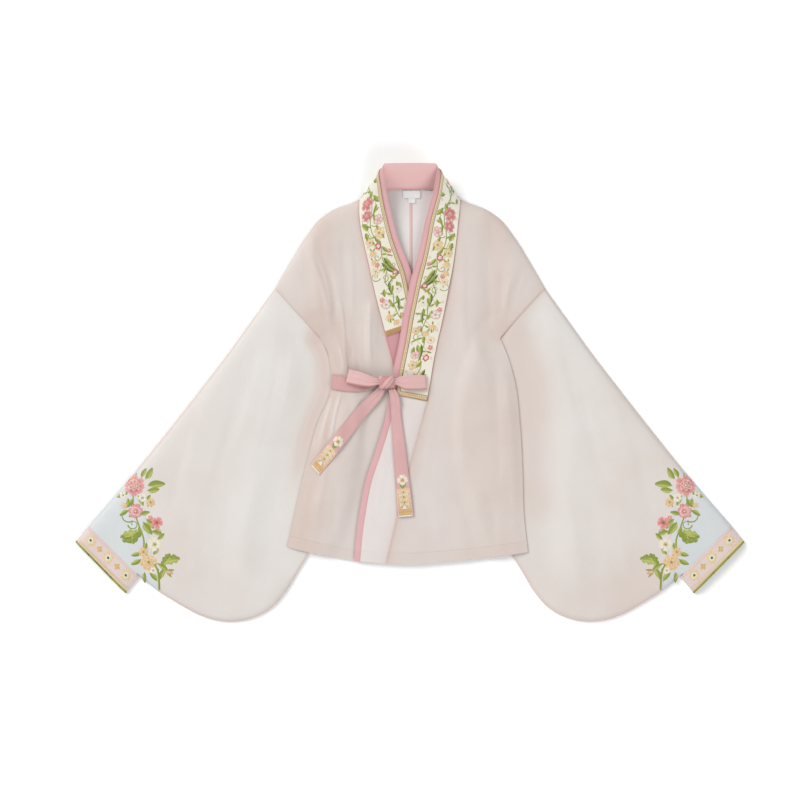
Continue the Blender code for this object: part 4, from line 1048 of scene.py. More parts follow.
# Painted shade along the collar's foot and on its inner end, and painted light where the band
# climbs round the neck.
FOOT_SHADE, FOOT_WIDTH = 1.9, 0.07
UNDER_SHADE, UNDER_RUN = 0.95, 14.0
CLIMB_LIGHT, CLIMB_RUN = 0.9, 45.0


def collar_lines():
    """The collar's seam line and free edge at evenly spaced rows along its whole length."""
    seam, edge = [], []
    for k, s in enumerate(COLLAR_SECTIONS):
        z = s.seam_z
        if z is None:
            front = left_front_height if k < len(LEFT_SECTIONS) else right_front_height
            z = float(front(np.array(s.seam_x), np.array(s.seam_y), 0.0)) + COLLAR_RAISED
        seam.append((s.seam_x, s.seam_y, z))
        edge.append((s.edge_x, s.edge_y, s.edge_z))
    marks = lengths_along((np.array(seam) + np.array(edge)) / 2)
    last, places = len(marks) - 2, [0]
    for k in range(last + 1):
        turning = TURN_FROM <= min(k, last - k) < TURN_TO
        count = math.ceil((marks[k + 1] - marks[k]) / (TURN_ROW if turning else COLLAR_ROW))
        places += list(np.linspace(marks[k], marks[k + 1], count + 1)[1:])
    return [smooth_through(marks, line, np.array(places)) for line in (seam, edge)]


SEAM, EDGE = collar_lines()
SEAM = SEAM + unit(EDGE - SEAM) * COLLAR_SEAM_GAP
COLLAR_MARKS = lengths_along((SEAM + EDGE) / 2)
COLLAR_WIDTHS = np.linalg.norm(EDGE - SEAM, axis=1)
band_last = np.flatnonzero((SEAM[:, 0] > 0) | (SEAM[:, 1] > RIGHT_BAND_END))[-1]
INNER_SHADE_FROM = COLLAR_MARKS[band_last] - 10.0
COLLAR_CLIMB = COLLAR_MARKS[np.argmin(np.hypot(SEAM[:, 0] - 88, SEAM[:, 1] - 335))]


def on_collar(place, share, lift=0.0):
    """Points of the collar's outer face, lifted off it."""
    place, share = np.broadcast_arrays(np.asarray(place, float), np.asarray(share, float))
    tables = (SEAM, EDGE, np.gradient(SEAM, COLLAR_MARKS, axis=0),
              np.gradient(EDGE, COLLAR_MARKS, axis=0))
    seam, edge, down_seam, down_edge = (
        np.stack([np.interp(place, COLLAR_MARKS, column) for column in table.T], axis=-1)
        for table in tables)
    t = share[..., None]
    out = unit(np.cross(between(down_seam, down_edge, t), edge - seam))
    swell = COLLAR_SWELL * np.sin(np.pi * np.clip(share, 0, 1)) ** 0.6
    return between(seam, edge, t) + out * (lift + swell)[..., None]


def collar_strip(name, places, shares, lift, wall, paint, slot, rests_on, trim=(), lining=None,
                 doubling_and_painted_shading=None):
    """A strip along the collar between shares of its width."""
    place, share = places[:, None], shares[None, ::-1]
    widths = np.interp(places, COLLAR_MARKS, COLLAR_WIDTHS)
    grain = np.stack(np.broadcast_arrays(share * widths.mean(), place), axis=-1)
    return cloth(name, on_collar(place, share, lift), grain, paint, slot, rests_on, lining, wall,
                 trim=trim, doubling_and_painted_shading=doubling_and_painted_shading and doubling_and_painted_shading(place, share))


def collar_painted_shade(place, share):
    """Painted shade along the collar's foot, and on its inner end under the outer end."""
    under = UNDER_SHADE * ease((place - INNER_SHADE_FROM) / UNDER_RUN)
    return np.maximum(FOOT_SHADE * hump(share, FOOT_WIDTH), under)


def band_painted_light(place, share):
    """The band is lighter where it climbs round the neck and turns to the light."""
    return -CLIMB_LIGHT * hump(place - COLLAR_CLIMB, CLIMB_RUN) * np.ones_like(share)


edge_shares = np.concatenate([np.linspace(0, 0.06, 4), np.linspace(0.12, 0.97, 15),
                              [0.985, 1.0]])
# The collar's inner face is the rose satin painted lighter, as painted light.
collar_strip("collar", COLLAR_MARKS, edge_shares, 0.0, 1.3, "rose_satin", "collar",
             ["body_left_cloth", "body_right_cloth"], lining="rose_satin_painted_light", doubling_and_painted_shading=collar_painted_shade)
band_places = COLLAR_MARKS[1:band_last + 1]
braid = collar_strip("collar_braid", COLLAR_MARKS[1:band_last + 2],
                     np.linspace(*BRAID_SHARES, 4), BRAID_LIFT - 0.3, 1.0, "gold_ground",
                     "braid", None)
collar_strip("collar_band", band_places, np.linspace(*BAND_SHARES, 12), BAND_LIFT, 0.8,
             "cream_silk", "collar_band", ["collar_cloth"], [braid], doubling_and_painted_shading=band_painted_light)
print("collar's length in mm:", round(COLLAR_MARKS[-1]))

# %% [markdown]
# The tie is a pressed tube of rose satin. One end is sewn into the side seam, it crosses the
# front, and it is tied in a bow with two loops and two hanging tails. The ribbons are lofted
# between two edges, and lie at a given height over the cloth that they cross. Near the knot
# the loops gather into small pleats, which fade out towards their tips.

# %% Tie, tails, loops and knot
# A ribbon's rows: the x and y of both its edges, and how high it lies over what is under it.
TIE_SIDE = np.array([
    (-138.4, 31.8, -143.0, 6.8, 2.4), (-126.0, 30.2, -128.0, 3.6, 2.6),
    (-110.0, 27.4, -110.0, 1.6, 2.6), (-93.0, 24.6, -92.0, 1.0, 2.6),
    (-75.0, 23.6, -72.0, 5.4, 2.8), (-62.5, 23.4, -58.5, 12.0, 3.0)])
LEFT_TAIL = np.array([
    (-55.5, 12.0, -44.5, 4.0, 5.6), (-63.5, 3.0, -50.0, -8.0, 4.2),
    (-87.0, -18.0, -71.0, -34.0, 2.4), (-117.7, -54.9, -101.5, -72.7, 2.2),
    (-144.9, -88.7, -127.0, -105.0, 3.4), (-163.0, -111.5, -146.0, -128.4, 2.2),
    (-178.7, -130.5, -162.6, -148.5, 1.9)])
RIGHT_TAIL = np.array([
    (-38.5, 4.5, -26.5, 7.0, 5.2), (-36.2, -6.0, -21.0, -3.0, 3.8),
    (-34.2, -42.1, -16.0, -42.1, 2.3), (-30.8, -98.1, -8.3, -98.1, 2.8),
    (-26.6, -153.0, -1.6, -154.0, 2.1), (-24.0, -190.0, 2.6, -190.0, 2.6),
    (-21.6, -224.3, 6.2, -222.0, 1.9)])
LOOPS = {
    "loop_left": np.array([
        (-49.0, 23.4, -48.5, 14.0), (-61.0, 25.6, -59.0, 13.4), (-75.0, 31.6, -70.0, 10.4),
        (-92.0, 37.6, -90.0, 11.8), (-106.0, 40.8, -113.0, 16.4)]),
    "loop_right": np.array([
        (-34.0, 23.4, -34.0, 14.0), (-24.0, 25.6, -23.0, 12.6), (-13.0, 29.6, -13.0, 6.4),
        (6.0, 31.6, 6.0, 4.6), (25.4, 31.2, 27.0, 5.4)])}
COLLAR_TOP_AT_TIE = 11.4
LOOP_MIDDLES, LOOP_HALVES = (17.4, 17.3, 16.6, 15.9, 15.2), (3.6, 3.8, 4.2, 3.8, 2.8)
LOOP_ROWS, RIBBON_COLUMNS = 30, 14
LOOP_COLUMNS, TIP_TURNS = 18, np.radians(np.linspace(-68, 68, 7))
RIBBON_DOME, TIE_RIPPLE = 0.5, 0.7
PLEATS, PLEAT_DEPTH = 2.5, 1.5
# Painted shade along each loop's lower fold and over the tie's side piece, and painted light over
# the loops.
LOOP_EDGE_SHADE, LOOP_EDGE_WIDTH = 2.8, 0.075
LOOP_LIGHT, TIE_SHADE = 0.4, 0.36


def under_tie_left(x, y):
    """What the tie lies on at the wearer's right: the inner front, without its creases."""
    return right_front_height(x, y, 0.0)


def under_tie_right(x, y):
    """What the tie lies on to the wearer's left of the knot: the collar, then the front."""
    collar = COLLAR_TOP_AT_TIE * ease((y + 52) / 34)
    return np.maximum(left_front_height(x, y, 0.0) + 0.6, collar)


def sized_grain(width, length, columns, rows):
    """The grain of a piece by its flat size."""
    return np.stack(np.meshgrid(np.linspace(0, width, columns), np.linspace(0, length, rows)),
                    axis=-1)


class RibbonFace:
    """A ribbon's upper face, read by shares of its length and of its width."""

    def __init__(self, table, under, gathered_at):
        self.first, self.second, self.over = table[:, :2], table[:, 2:4], table[:, 4]
        self.under, self.gathered_at = under, gathered_at
        self.length = lengths_along((self.first + self.second) / 2)[-1]
        self.width = np.linalg.norm(self.second - self.first, axis=1)[2:].mean()

    def at(self, down, across, lift=0.0):
        """Points at shares of the ribbon's length and width, lifted off its face."""
        down, across = np.broadcast_arrays(np.asarray(down, float), np.asarray(across, float))
        plan = between(along(self.first, down), along(self.second, down), across[..., None])
        over = np.interp(down, np.linspace(0, 1, len(self.over)), self.over)
        dome = RIBBON_DOME * np.sqrt(np.clip(1 - (2 * across - 1) ** 2, 0, 1))
        gather = np.exp(-np.abs(down - self.gathered_at) * self.length / 22.0)
        pleats = 0.9 * np.sin(2 * np.pi * PLEATS * across + 1.0) * gather
        waves = TIE_RIPPLE * np.sin(down * self.length / 17.0 + 2.0 * across) * (1 - gather)
        heights = self.under(plan[..., 0], plan[..., 1]) + over + dome + pleats + 0.45 * waves
        return with_height(plan, heights + lift)


def ribbon(name, face, rows, rests_on, shade=0.0):
    """A ribbon of the tie through its face."""
    points = face.at(np.linspace(0, 1, rows)[:, None], np.linspace(0, 1, RIBBON_COLUMNS)[None, :])
    points, grain = flipped(turn_of(points) < 0, points,
                            sized_grain(face.width, face.length, RIBBON_COLUMNS, rows))
    return cloth(name, points, grain, "tie_satin", "tie", rests_on,
                 doubling_and_painted_shading=np.full(points.shape[:2], shade))


def loop(name, table):
    """A bow's loop: a ribbon that runs out from the knot, folds over and comes back."""
    down = np.linspace(0, 1, LOOP_ROWS)[:, None]
    share = np.linspace(0, 1, LOOP_COLUMNS)[None, :]
    marks = np.linspace(0, 1, len(LOOP_MIDDLES))
    middle, half = np.interp(down, marks, LOOP_MIDDLES), np.interp(down, marks, LOOP_HALVES)
    plan = between(along(table[:, :2], down[:, 0])[:, None],
                   along(table[:, 2:], down[:, 0])[:, None], share[..., None])
    pleats = PLEAT_DEPTH * np.exp(-down * 1.7) * np.sin(2 * np.pi * PLEATS * share + 0.6)
    belly = 1.2 * np.sin(np.pi * share) * np.sin(np.pi * down ** 0.8)
    upper, lower = middle + half + pleats + belly, middle - half + 0.5 * pleats
    tip_run = unit(plan[-1] - plan[-2])
    tip_middle, tip_half = (upper[-1] + lower[-1]) / 2, (upper[-1] - lower[-1]) / 2
    tip = [with_height(plan[-1] + tip_run * (tip_half * math.cos(turn))[:, None],
                       tip_middle + tip_half * math.sin(turn)) for turn in TIP_TURNS]
    points = np.concatenate([with_height(plan, lower), tip, with_height(plan, upper)[::-1]])
    # Painted shade along the loop's lower fold, and painted light over the rest of it.
    shade = LOOP_EDGE_SHADE * hump(1 - share, LOOP_EDGE_WIDTH) - LOOP_LIGHT
    points, grain, doubling_and_painted_shading = flipped(
        turn_of(points, 1) > 0, points, sized_grain(24, 140, LOOP_COLUMNS, len(points)),
        np.broadcast_to(shade, points.shape[:2]))
    return cloth(name, points, grain, "tie_satin", "tie", ["collar_cloth"], held="folded",
                 doubling_and_painted_shading=doubling_and_painted_shading)


KNOT_CENTRE = (-41.5, 18.2, 17.4)
# The knot's rings: how far along it each is, and half its reach and rise there.
KNOT_RINGS = np.array([(-13.4, 8.8, 4.6), (-11.5, 10.0, 5.6), (-7.5, 11.0, 6.4),
                       (0, 11.4, 6.6), (7.5, 11.1, 6.4), (11.5, 10.1, 5.7), (13.4, 9.0, 4.7)])
KNOT_ROWS, KNOT_COLUMNS = 25, 57
KNOT_SQUARE, KNOT_CREASES, KNOT_SHADE = 2.4, 0.8, 0.7


def knot(name):
    """The knot: a band of the tie wrapped round where the loops meet, with slanting creases."""
    given, power = KNOT_RINGS, 2 / KNOT_SQUARE
    x = np.linspace(given[0, 0], given[-1, 0], KNOT_ROWS)[:, None]
    turn = np.linspace(0, 2 * np.pi, KNOT_COLUMNS)[None, :]
    c, s = np.cos(turn), np.sin(turn)
    slant = 0.72 * x - 7.6 * c
    crease = KNOT_CREASES * (np.sin(0.36 * slant + 0.8) + 0.35 * np.sin(0.95 * slant + 2.4)
                             - hump(slant - 3.4, 1.3))
    reach = np.interp(x, given[:, 0], given[:, 1]) + crease
    rise = np.interp(x, given[:, 0], given[:, 2]) + crease
    y = KNOT_CENTRE[1] + reach * np.copysign(np.abs(c) ** power, c)
    z = KNOT_CENTRE[2] + rise * np.copysign(np.abs(s) ** power, s)
    points = np.stack([np.broadcast_to(KNOT_CENTRE[0] + x, y.shape), y, z], axis=-1)[:, ::-1]
    # Painted shade over the knot, deepest in the hollows between its creases.
    shade = np.clip(KNOT_SHADE * (1 - 1.3 * crease / KNOT_CREASES), 0, 2)[:, ::-1]
    return cloth(name, points, sized_grain(58, 27, KNOT_COLUMNS, KNOT_ROWS), "tie_satin", "tie",
                 ["collar_cloth"], ring=True, held="folded", doubling_and_painted_shading=shade)


side_face = RibbonFace(TIE_SIDE, under_tie_left, 1)
left_tail_face = RibbonFace(LEFT_TAIL, under_tie_left, 0)
right_tail_face = RibbonFace(RIGHT_TAIL, under_tie_right, 0)
ribbon("tie_side", side_face, 34, ["body_right_cloth"], TIE_SHADE)
ribbon("tail_left", left_tail_face, 70, ["body_right_cloth"])
ribbon("tail_right", right_tail_face, 80, ["gore_outer_cloth"])
for name, table in LOOPS.items():
    loop(name, table)
knot("knot")

# %% [markdown]
# Inside the neck the centre-back seam is bound with a narrow pink tape, and two small satin
# labels hang from the neck seam. The labels are left blank. Small things like these tell the
# eye how large the jacket is.

# %% Labels and the bound back seam
NECK_LABEL, SIZE_LABEL = (-12.5, 349.5, 18.5, 363.0), (-3.0, 341.0, 9.5, 349.2)
LABEL_HEIGHT, LABEL_CURL = 2.4, 0.25
SEAM_TAPE, TAPE_MIDDLE, TAPE_FOOT, TAPE_LIFT = 5.0, 1.6, 60.0, 0.5


def label(name, corners, rests_on, trim=()):
    """A small blank label, by its lower left and upper right corners."""
    x, y = np.meshgrid(np.linspace(corners[0], corners[2], 13),
                       np.linspace(corners[1], corners[3], 9))
    curl = LABEL_CURL * np.cos((x - corners[0]) / (corners[2] - corners[0]) * np.pi * 2)
    points = np.stack([x, y, LABEL_HEIGHT + curl], axis=-1)
    return cloth(name, points, points[..., :2], "label_satin", "label", rests_on, wall=0.35,
                 trim=trim)


size_tab = label("size_label", SIZE_LABEL, None)
label("neck_label", NECK_LABEL, ["body_left_cloth"], [size_tab])

tape_x, tape_y = np.meshgrid(np.linspace(-SEAM_TAPE / 2, SEAM_TAPE / 2, 7),
                             np.linspace(TAPE_FOOT, BACK_NECK_TOP - 1, 90))
tape_dome = TAPE_LIFT * np.sqrt(np.clip(1 - (2 * tape_x / SEAM_TAPE) ** 2, 0, 1))
tape = np.stack([tape_x + TAPE_MIDDLE, tape_y, FINE_CLOTH + 0.45 + tape_dome], axis=-1)
riding(walled("back_seam_tape", mesh_from_grid("back_seam_tape", tape, tape[..., :2]), 0.4,
              "piping_silk"), "body")
print("back seam tape in mm:", SEAM_TAPE, "x", round(BACK_NECK_TOP - TAPE_FOOT))

# %% [markdown]
# The needlework is satin stitch: petals, leaves and stems, each a small raised pad of thread.
# They could be painted on, but then they would stay flat from the side. Here every pad is a
# little dome whose edge is sunk into the cloth. A pad is drawn on a flat plan with two
# directions, and a function then lays the whole plan on the collar, sleeve, cuff or tail.

# %% A needleworker's kit
CORAL, DEEP_CORAL = (0.60, 0.115, 0.105), (0.40, 0.035, 0.045)
PINK, PALE_PINK = (0.72, 0.27, 0.26), (0.78, 0.50, 0.47)
PEACH, GOLD = (0.75, 0.44, 0.22), (0.55, 0.34, 0.11)
BUTTER, IVORY, CREAM = (0.76, 0.64, 0.36), (0.76, 0.76, 0.70), (0.80, 0.76, 0.64)
LIGHT_LEAF, LEAF = (0.56, 0.58, 0.17), (0.22, 0.28, 0.03)
DARK_LEAF, OLIVE = (0.05, 0.09, 0.015), (0.30, 0.33, 0.04)
SUNK, VEIN_WIDTH = 0.16, 1.0
# A pad's rows and its shares across. Most pads have the same few.
PAD_GRID = (7, (-1, -0.84, -0.45, 0, 0.45, 0.84, 1))
PAD_GRIDS = {"lobed": (15, PAD_GRID[1]), "square": (31, np.linspace(-1, 1, 9))}
WIDTHS = {
    "round": lambda a: np.sin(np.pi * np.clip(a, 0, 1) ** 1.35) ** 0.62,
    "notched": lambda a: np.sin(np.pi * np.clip(a, 0, 1) ** 1.7) ** 0.6,
    "pointed": lambda a: np.sin(np.pi * a) ** 0.85 * (1.15 - 0.35 * a),
    "slim": lambda a: np.sin(np.pi * a ** 0.8) ** 1.1,
    "lobed": lambda a: np.sin(np.pi * a ** 0.9) ** 0.7
    * (0.58 + 0.42 * np.abs(np.sin(3.5 * np.pi * a))),
    "square": lambda a: 1 + 0 * a,
    "triangle": lambda a: 1 - a,
}


def direction(turn):
    """The way that an angle in degrees points, and the way to its left."""
    angle = math.radians(turn)
    run = np.array([math.cos(angle), math.sin(angle)])
    return run, np.array([-run[1], run[0]])


class Needlework:
    """Raised stitching gathered for one piece, on a plan with two directions in mm."""

    def __init__(self):
        self.plan, self.heights, self.tints, self.threads = [], [], [], []
        self.faces, self.knots, self.count = [], [], 0
        self.dice = np.random.default_rng(7)

    def keep(self, plan, heights, tints, threads, faces):
        """Adds one closed pad."""
        self.plan.append(plan.reshape(-1, 2))
        self.heights.append(np.ravel(heights))
        self.tints.append(np.broadcast_to(tints, (*plan.shape[:2], 3)).reshape(-1, 3))
        self.threads.append(threads.reshape(-1, 2))
        self.faces += [[self.count + k for k in face] for face in faces]
        self.count += self.heights[-1].size

    def petal(self, u, v, turn, length, width, tints, form="round", height=0.55, level=0.0,
              bend=0.0, rib=0.0, rim=None, split=0.0):
        """A petal or leaf that grows from (u, v) in the direction turn, in degrees. It may
        have a rim of another colour, or a split into a light and a dark side."""
        rows, across = PAD_GRIDS.get(form, PAD_GRID)
        a, b = np.linspace(0, 1, rows)[:, None], np.array(across)[None, :]
        columns = len(across)
        flat = form in ("square", "triangle")
        if flat:
            a[1], a[-2], b[0, 1], b[0, -2] = 0.02, 0.98, -0.95, 0.95
        half_width = width / 2 * (0.03 + 0.97 * WIDTHS[form](a))
        notch = 0.16 if form == "notched" else 0.0
        reach = a * length * (1 - notch * (1 - np.abs(b)) * a ** 6)
        run, left = direction(turn)
        plan = [u, v] + reach[..., None] * run + (b * half_width + bend * a ** 2)[..., None] * left
        dome = np.sqrt(1 - b ** 2) * (1 - rib * (np.abs(b) < 0.1))
        ends = np.sqrt(np.clip(np.sin(np.pi * a), 0, 1))
        if flat:
            dome, ends = 1.0 * (np.abs(b) < 1), 1.0 * (a > 0) * (a < 1)
        heights = level - SUNK + (height + SUNK) * dome * ends
        root, tip = np.array(tints)
        blend = a ** 0.8 * (1 - split) + (0.14 + split) * b + 0.35 * split
        blend = np.clip(blend + self.dice.uniform(-0.12, 0.12), 0, 1)[..., None]
        colours = between(root, tip, blend)
        if rim is not None:
            edge = np.maximum(np.abs(b) ** 3, a ** 4)[..., None] * (a > 0.2)[..., None]
            colours = between(colours, np.array(rim), edge)
        lie = np.stack([np.broadcast_to(b * half_width, reach.shape), reach], axis=-1)
        faces = [[k, k + columns, k + columns + 1, k + 1] for r in range(rows - 1)
                 for k in range(r * columns, (r + 1) * columns - 1)]
        order = np.arange(rows * columns).reshape(rows, columns)
        faces.append([*order[0], *order[1:, -1], *order[-1, -2::-1], *order[-2:0:-1, 0]])
        self.keep(plan, heights, colours, lie + self.dice.uniform(0, 50), faces)

    def leaf(self, u, v, turn, length, width, bend=0.0, form="pointed", light=LIGHT_LEAF,
             dark=LEAF, level=0.0):
        """A leaf in two greens with a pressed rib."""
        self.petal(u, v, turn, length, width, (dark, light), form, 0.55, level, bend, 0.5,
                   rim=dark, split=0.75)
        run, left = direction(turn)
        vein = [[u, v] + t * length * run + bend * t * t * left for t in (0.02, 0.45, 0.9)]
        self.stem(vein, VEIN_WIDTH, (dark, dark), 0.3, level + 0.3, 0.7)

    def stem(self, points, width, tints=(LEAF, OLIVE), height=0.45, level=0.0, taper=0.5):
        """A stem or tendril along a smooth line through points, thinner at its far end."""
        length = lengths_along(points)[-1]
        shares = np.linspace(0, 1, max(6, int(length / 2.2)) + 1)
        line, rows = along(points, shares), len(shares)
        side = offset_line(line, -1) - line
        side = side * (width / 2 * (1 - taper * shares))[:, None]
        plan = np.stack([line - side, line, line + side], axis=1)
        heights = np.tile([level - SUNK, level + height, level - SUNK], (rows, 1))
        root, tip = np.array(tints)
        colours = root + (tip - root) * shares[:, None, None]
        lie = np.stack(np.meshgrid((-width / 2, 0, width / 2), shares * length), axis=-1)
        faces = []
        for k in range(0, 3 * rows - 3, 3):
            faces += [[k, k + 3, k + 4, k + 1], [k + 1, k + 4, k + 5, k + 2],
                      [k + 2, k + 5, k + 3, k]]
        faces += [[0, 1, 2], [3 * rows - 1, 3 * rows - 2, 3 * rows - 3]]
        self.keep(plan, heights, colours, lie, faces)

    def scroll(self, u, v, turn, size, way, width):
        """A tendril that curls in on itself, with a small bud at its end."""
        t = np.linspace(0, 1, 14)
        angle = np.radians(turn) + way * (2 * np.pi * t - np.pi / 2)
        reach = (size * (1 - 0.72 * t))[:, None]
        centre = [u, v] + size * way * direction(turn)[1]
        line = centre + reach * np.stack([np.cos(angle), np.sin(angle)], axis=1)
        self.stem(line, width)
        self.knots.append((*line[-1], 0.5, OLIVE))

    def flower(self, u, v, radius, turn, petals, tints, form="round", heart=GOLD, knots=0,
               level=0.0, fullness=1.0, rim=None, rings=1):
        """A flower: rings of petals, each smaller and higher, round a heart of knots."""
        for ring in range(rings):
            reach, count = radius * (1 - 0.3 * ring), petals - (ring > 0)
            for k in range(count):
                angle = turn + 360 * (k + 0.5 * ring) / count + self.dice.uniform(-5, 5)
                size = reach * self.dice.uniform(0.86, 1.08)
                wide = 2 * math.pi * reach / count * fullness * 0.72
                self.petal(u, v, angle, size, wide, tints, form, 0.6, level + 0.28 * ring,
                           rim=rim)
        for k in range(knots):
            angle, away = 2 * math.pi * k / knots, radius * 0.13 * (k > 0)
            self.knots.append((u + away * math.cos(angle), v + away * math.sin(angle),
                               level + 0.28 * (rings - 1) + 0.5, heart))

    def spray(self, u, v, turn, length, leaves, size):
        """A sprig: a curved stem with pairs of slim leaves."""
        run, left = direction(turn)
        line = [[u, v] + run * length * t + left * 0.12 * length * math.sin(3 * t)
                for t in (0, 0.35, 0.7, 1)]
        self.stem(line, 2.0)
        for k in range(leaves):
            place = along(line, (k + 1) / (leaves + 0.5))
            for way in (1, -1):
                self.leaf(*place, turn + way * 42, size * (1 - 0.08 * k), size * 0.34,
                          bend=-way * size * 0.12, form="slim")


print("pad shapes:", list(WIDTHS))

# %% [markdown]
# French knots fill the hearts of the flowers. There are a few hundred, all alike, so Geometry
# Nodes set one small bead of thread on every point of a cloud. Each tree has named inputs for
# its sizes and its material, and it ends in Realize Instances and Set Material, so that the
# result is a plain mesh. The running stitch and the braid's cord are made by two further trees:
# both follow a drawn line.

# %% Geometry Nodes for knots, stitches and cord


def geometry_tree(name, inputs, build):
    """A geometry tree with its named inputs. It ends in Realize Instances and Set Material."""
    tree, given, out = group_with("GeometryNodeTree", name,
                                  {"Geometry": None, **inputs, "Material": None},
                                  {"Geometry": "Geometry"})
    real = node(tree, "GeometryNodeRealizeInstances", build(tree, given))[0]
    smooth = node(tree, "GeometryNodeSetShadeSmooth", real)[0]
    fill(tree, out, node(tree, "GeometryNodeSetMaterial", Geometry=smooth,
                         Material=given["Material"])[0])
    return tree


def bead_on_points(tree, given):
    """A bead of thread on every point."""
    bead = node(tree, "GeometryNodeMeshIcoSphere", Radius=given["Knot Radius"], Subdivisions=2)
    points = node(tree, "GeometryNodeMeshToPoints", Mesh=given["Geometry"])[0]
    return node(tree, "GeometryNodeInstanceOnPoints", Points=points, Instance=bead["Mesh"])[0]


def stitches_on_line(tree, given):
    """Running stitch: short lengths of thread, end to end along a line with gaps between."""
    line = node(tree, "GeometryNodeMeshToCurve", Mesh=given["Geometry"])[0]
    points = node(tree, "GeometryNodeCurveToPoints", mode="LENGTH", Curve=line,
                  Length=given["Spacing"])
    turned = node(tree, "FunctionNodeAlignRotationToVector", axis="X",
                  Vector=points["Tangent"])[0]
    bead = node(tree, "GeometryNodeMeshUVSphere", Segments=8, Rings=5, Radius=1.0)["Mesh"]
    size = node(tree, "ShaderNodeCombineXYZ", maths(tree, "MULTIPLY", given["Stitch Length"], 0.5),
                given["Thread Radius"], given["Thread Radius"])[0]
    return node(tree, "GeometryNodeInstanceOnPoints", Points=points["Points"], Instance=bead,
                Rotation=turned, Scale=size)[0]


def cord_on_line(tree, given):
    """A cord that swings from side to side along a line, by the line's own side direction."""
    line = node(tree, "GeometryNodeMeshToCurve", Mesh=given["Geometry"])[0]
    even = node(tree, "GeometryNodeResampleCurve", mode="LENGTH", Curve=line,
                Length=maths(tree, "MULTIPLY", given["Pitch"], 0.25))[0]
    turn = maths(tree, "MULTIPLY_ADD", node(tree, "GeometryNodeInputIndex")[0], math.pi / 2,
                 given["Start"])
    reach = maths(tree, "MULTIPLY", maths(tree, "SINE", turn), given["Swing"])
    side = node(tree, "GeometryNodeInputNamedAttribute", data_type="FLOAT_VECTOR",
                Name="side")[0]
    shift = node(tree, "ShaderNodeVectorMath", side, operation="SCALE", Scale=reach)[0]
    swung = node(tree, "GeometryNodeSetPosition", Geometry=even, Offset=shift)[0]
    ring = node(tree, "GeometryNodeCurvePrimitiveCircle", Resolution=5,
                Radius=given["Cord Radius"])[0]
    return node(tree, "GeometryNodeCurveToMesh", Curve=swung, Profile_Curve=ring,
                Fill_Caps=True)[0]


KNOTS = geometry_tree("french_knots", {"Knot Radius": 0.0006}, bead_on_points)
STITCHES = geometry_tree(
    "running_stitch", {"Spacing": 0.0034, "Stitch Length": 0.0024, "Thread Radius": 0.00028},
    stitches_on_line)
CORD = geometry_tree(
    "swinging_cord", {"Pitch": 0.003, "Swing": 0.0016, "Start": 0.0, "Cord Radius": 0.0005},
    cord_on_line)


def grown(name, mesh, tree, paint, slot, **values):
    """A plain mesh grown by a geometry tree from a mesh of points or lines."""
    made = add_object(name, mesh)
    modifier = made.modifiers.new("grow", "NODES")
    modifier.node_group = tree
    sockets = {s.name: s.identifier for s in tree.interface.items_tree if s.in_out == "INPUT"}
    for title, value in values.items():
        modifier[sockets[title.replace("_", " ")]] = value
    modifier[sockets["Material"]] = PAINTS[paint]
    made.data = worked_in(made)
    print(f"{name}: {len(made.data.polygons)} faces")
    return riding(made, slot)


def lines_mesh(name, lines, sides=()):
    """A mesh of edges through lines of points in mm, with a side direction at each point."""
    edges, start = [], 0
    for line in lines:
        edges += [(k, k + 1) for k in range(start, start + len(line) - 1)]
        start += len(line)
    mesh = bpy.data.meshes.new(name)
    mesh.from_pydata((np.concatenate(lines) * MM).tolist(), edges, [])
    if len(sides):
        side = mesh.attributes.new("side", "FLOAT_VECTOR", "POINT")
        side.data.foreach_set("vector", np.concatenate(sides).ravel())
    return mesh


print("geometry trees:", [t.name for t in (KNOTS, STITCHES, CORD)])

# %% [markdown]
# The needlework's plan is flat, and has to lie on curved cloth. Each piece of cloth has a
# function that turns plan points and heights into places, so the same two helpers serve the
# collar, sleeves, cuffs and tails. The knots are gathered by thread, one mesh for each.

# %% Lay needlework on a surface
KNOT_PAINTS = {GOLD: "amber_cord", BUTTER: "gold_cord", OLIVE: "olive_thread"}
NEEDLEWORK_SHARP = math.radians(80)


def sewn(name, work, surface, slot):
    """Lays gathered needlework on a surface, which maps plan points and heights to places."""
    plan = np.concatenate(work.plan)
    places = surface(plan[:, 0], plan[:, 1], np.concatenate(work.heights))
    mesh = bpy.data.meshes.new(name)
    mesh.from_pydata((places * MM).tolist(), [], work.faces)
    tint = mesh.color_attributes.new("thread_tint", "FLOAT_COLOR", "POINT")
    colours = np.concatenate(work.tints)
    tint.data.foreach_set("color", with_height(colours, 1.0).ravel())
    corner = np.empty(len(mesh.loops), int)
    mesh.loops.foreach_get("vertex_index", corner)
    lie = mesh.uv_layers.new(name="grain")
    lie.data.foreach_set("uv", (np.concatenate(work.threads)[corner] * MM).ravel())
    solid = bmesh.new()
    solid.from_mesh(mesh)
    bmesh.ops.recalc_face_normals(solid, faces=solid.faces)
    solid.to_mesh(mesh)
    solid.free()
    mesh.shade_smooth()
    mesh.set_sharp_from_angle(angle=NEEDLEWORK_SHARP)
    mesh.materials.append(PAINTS["silk_floss"])
    print(f"{name}: {len(mesh.polygons)} faces")
    return riding(add_object(name, mesh), slot)


def knotted(name, works, slot, radius=0.0007):
    """The french knots of several pieces of needlework, one mesh for each thread."""
    for paint in sorted(KNOT_PAINTS.values()):
        cloud = []
        for work, surface in works:
            found = [k[:3] for k in work.knots if KNOT_PAINTS[k[3]] == paint]
            if found:
                cloud.append(surface(*np.array(found).T))
        if cloud:
            mesh = bpy.data.meshes.new(name)
            mesh.from_pydata((np.concatenate(cloud) * MM).tolist(), [], [])
            grown(f"{name}_{paint}", mesh, KNOTS, paint, slot, Knot_Radius=radius)


print("knots' threads:", sorted(KNOT_PAINTS.values()))

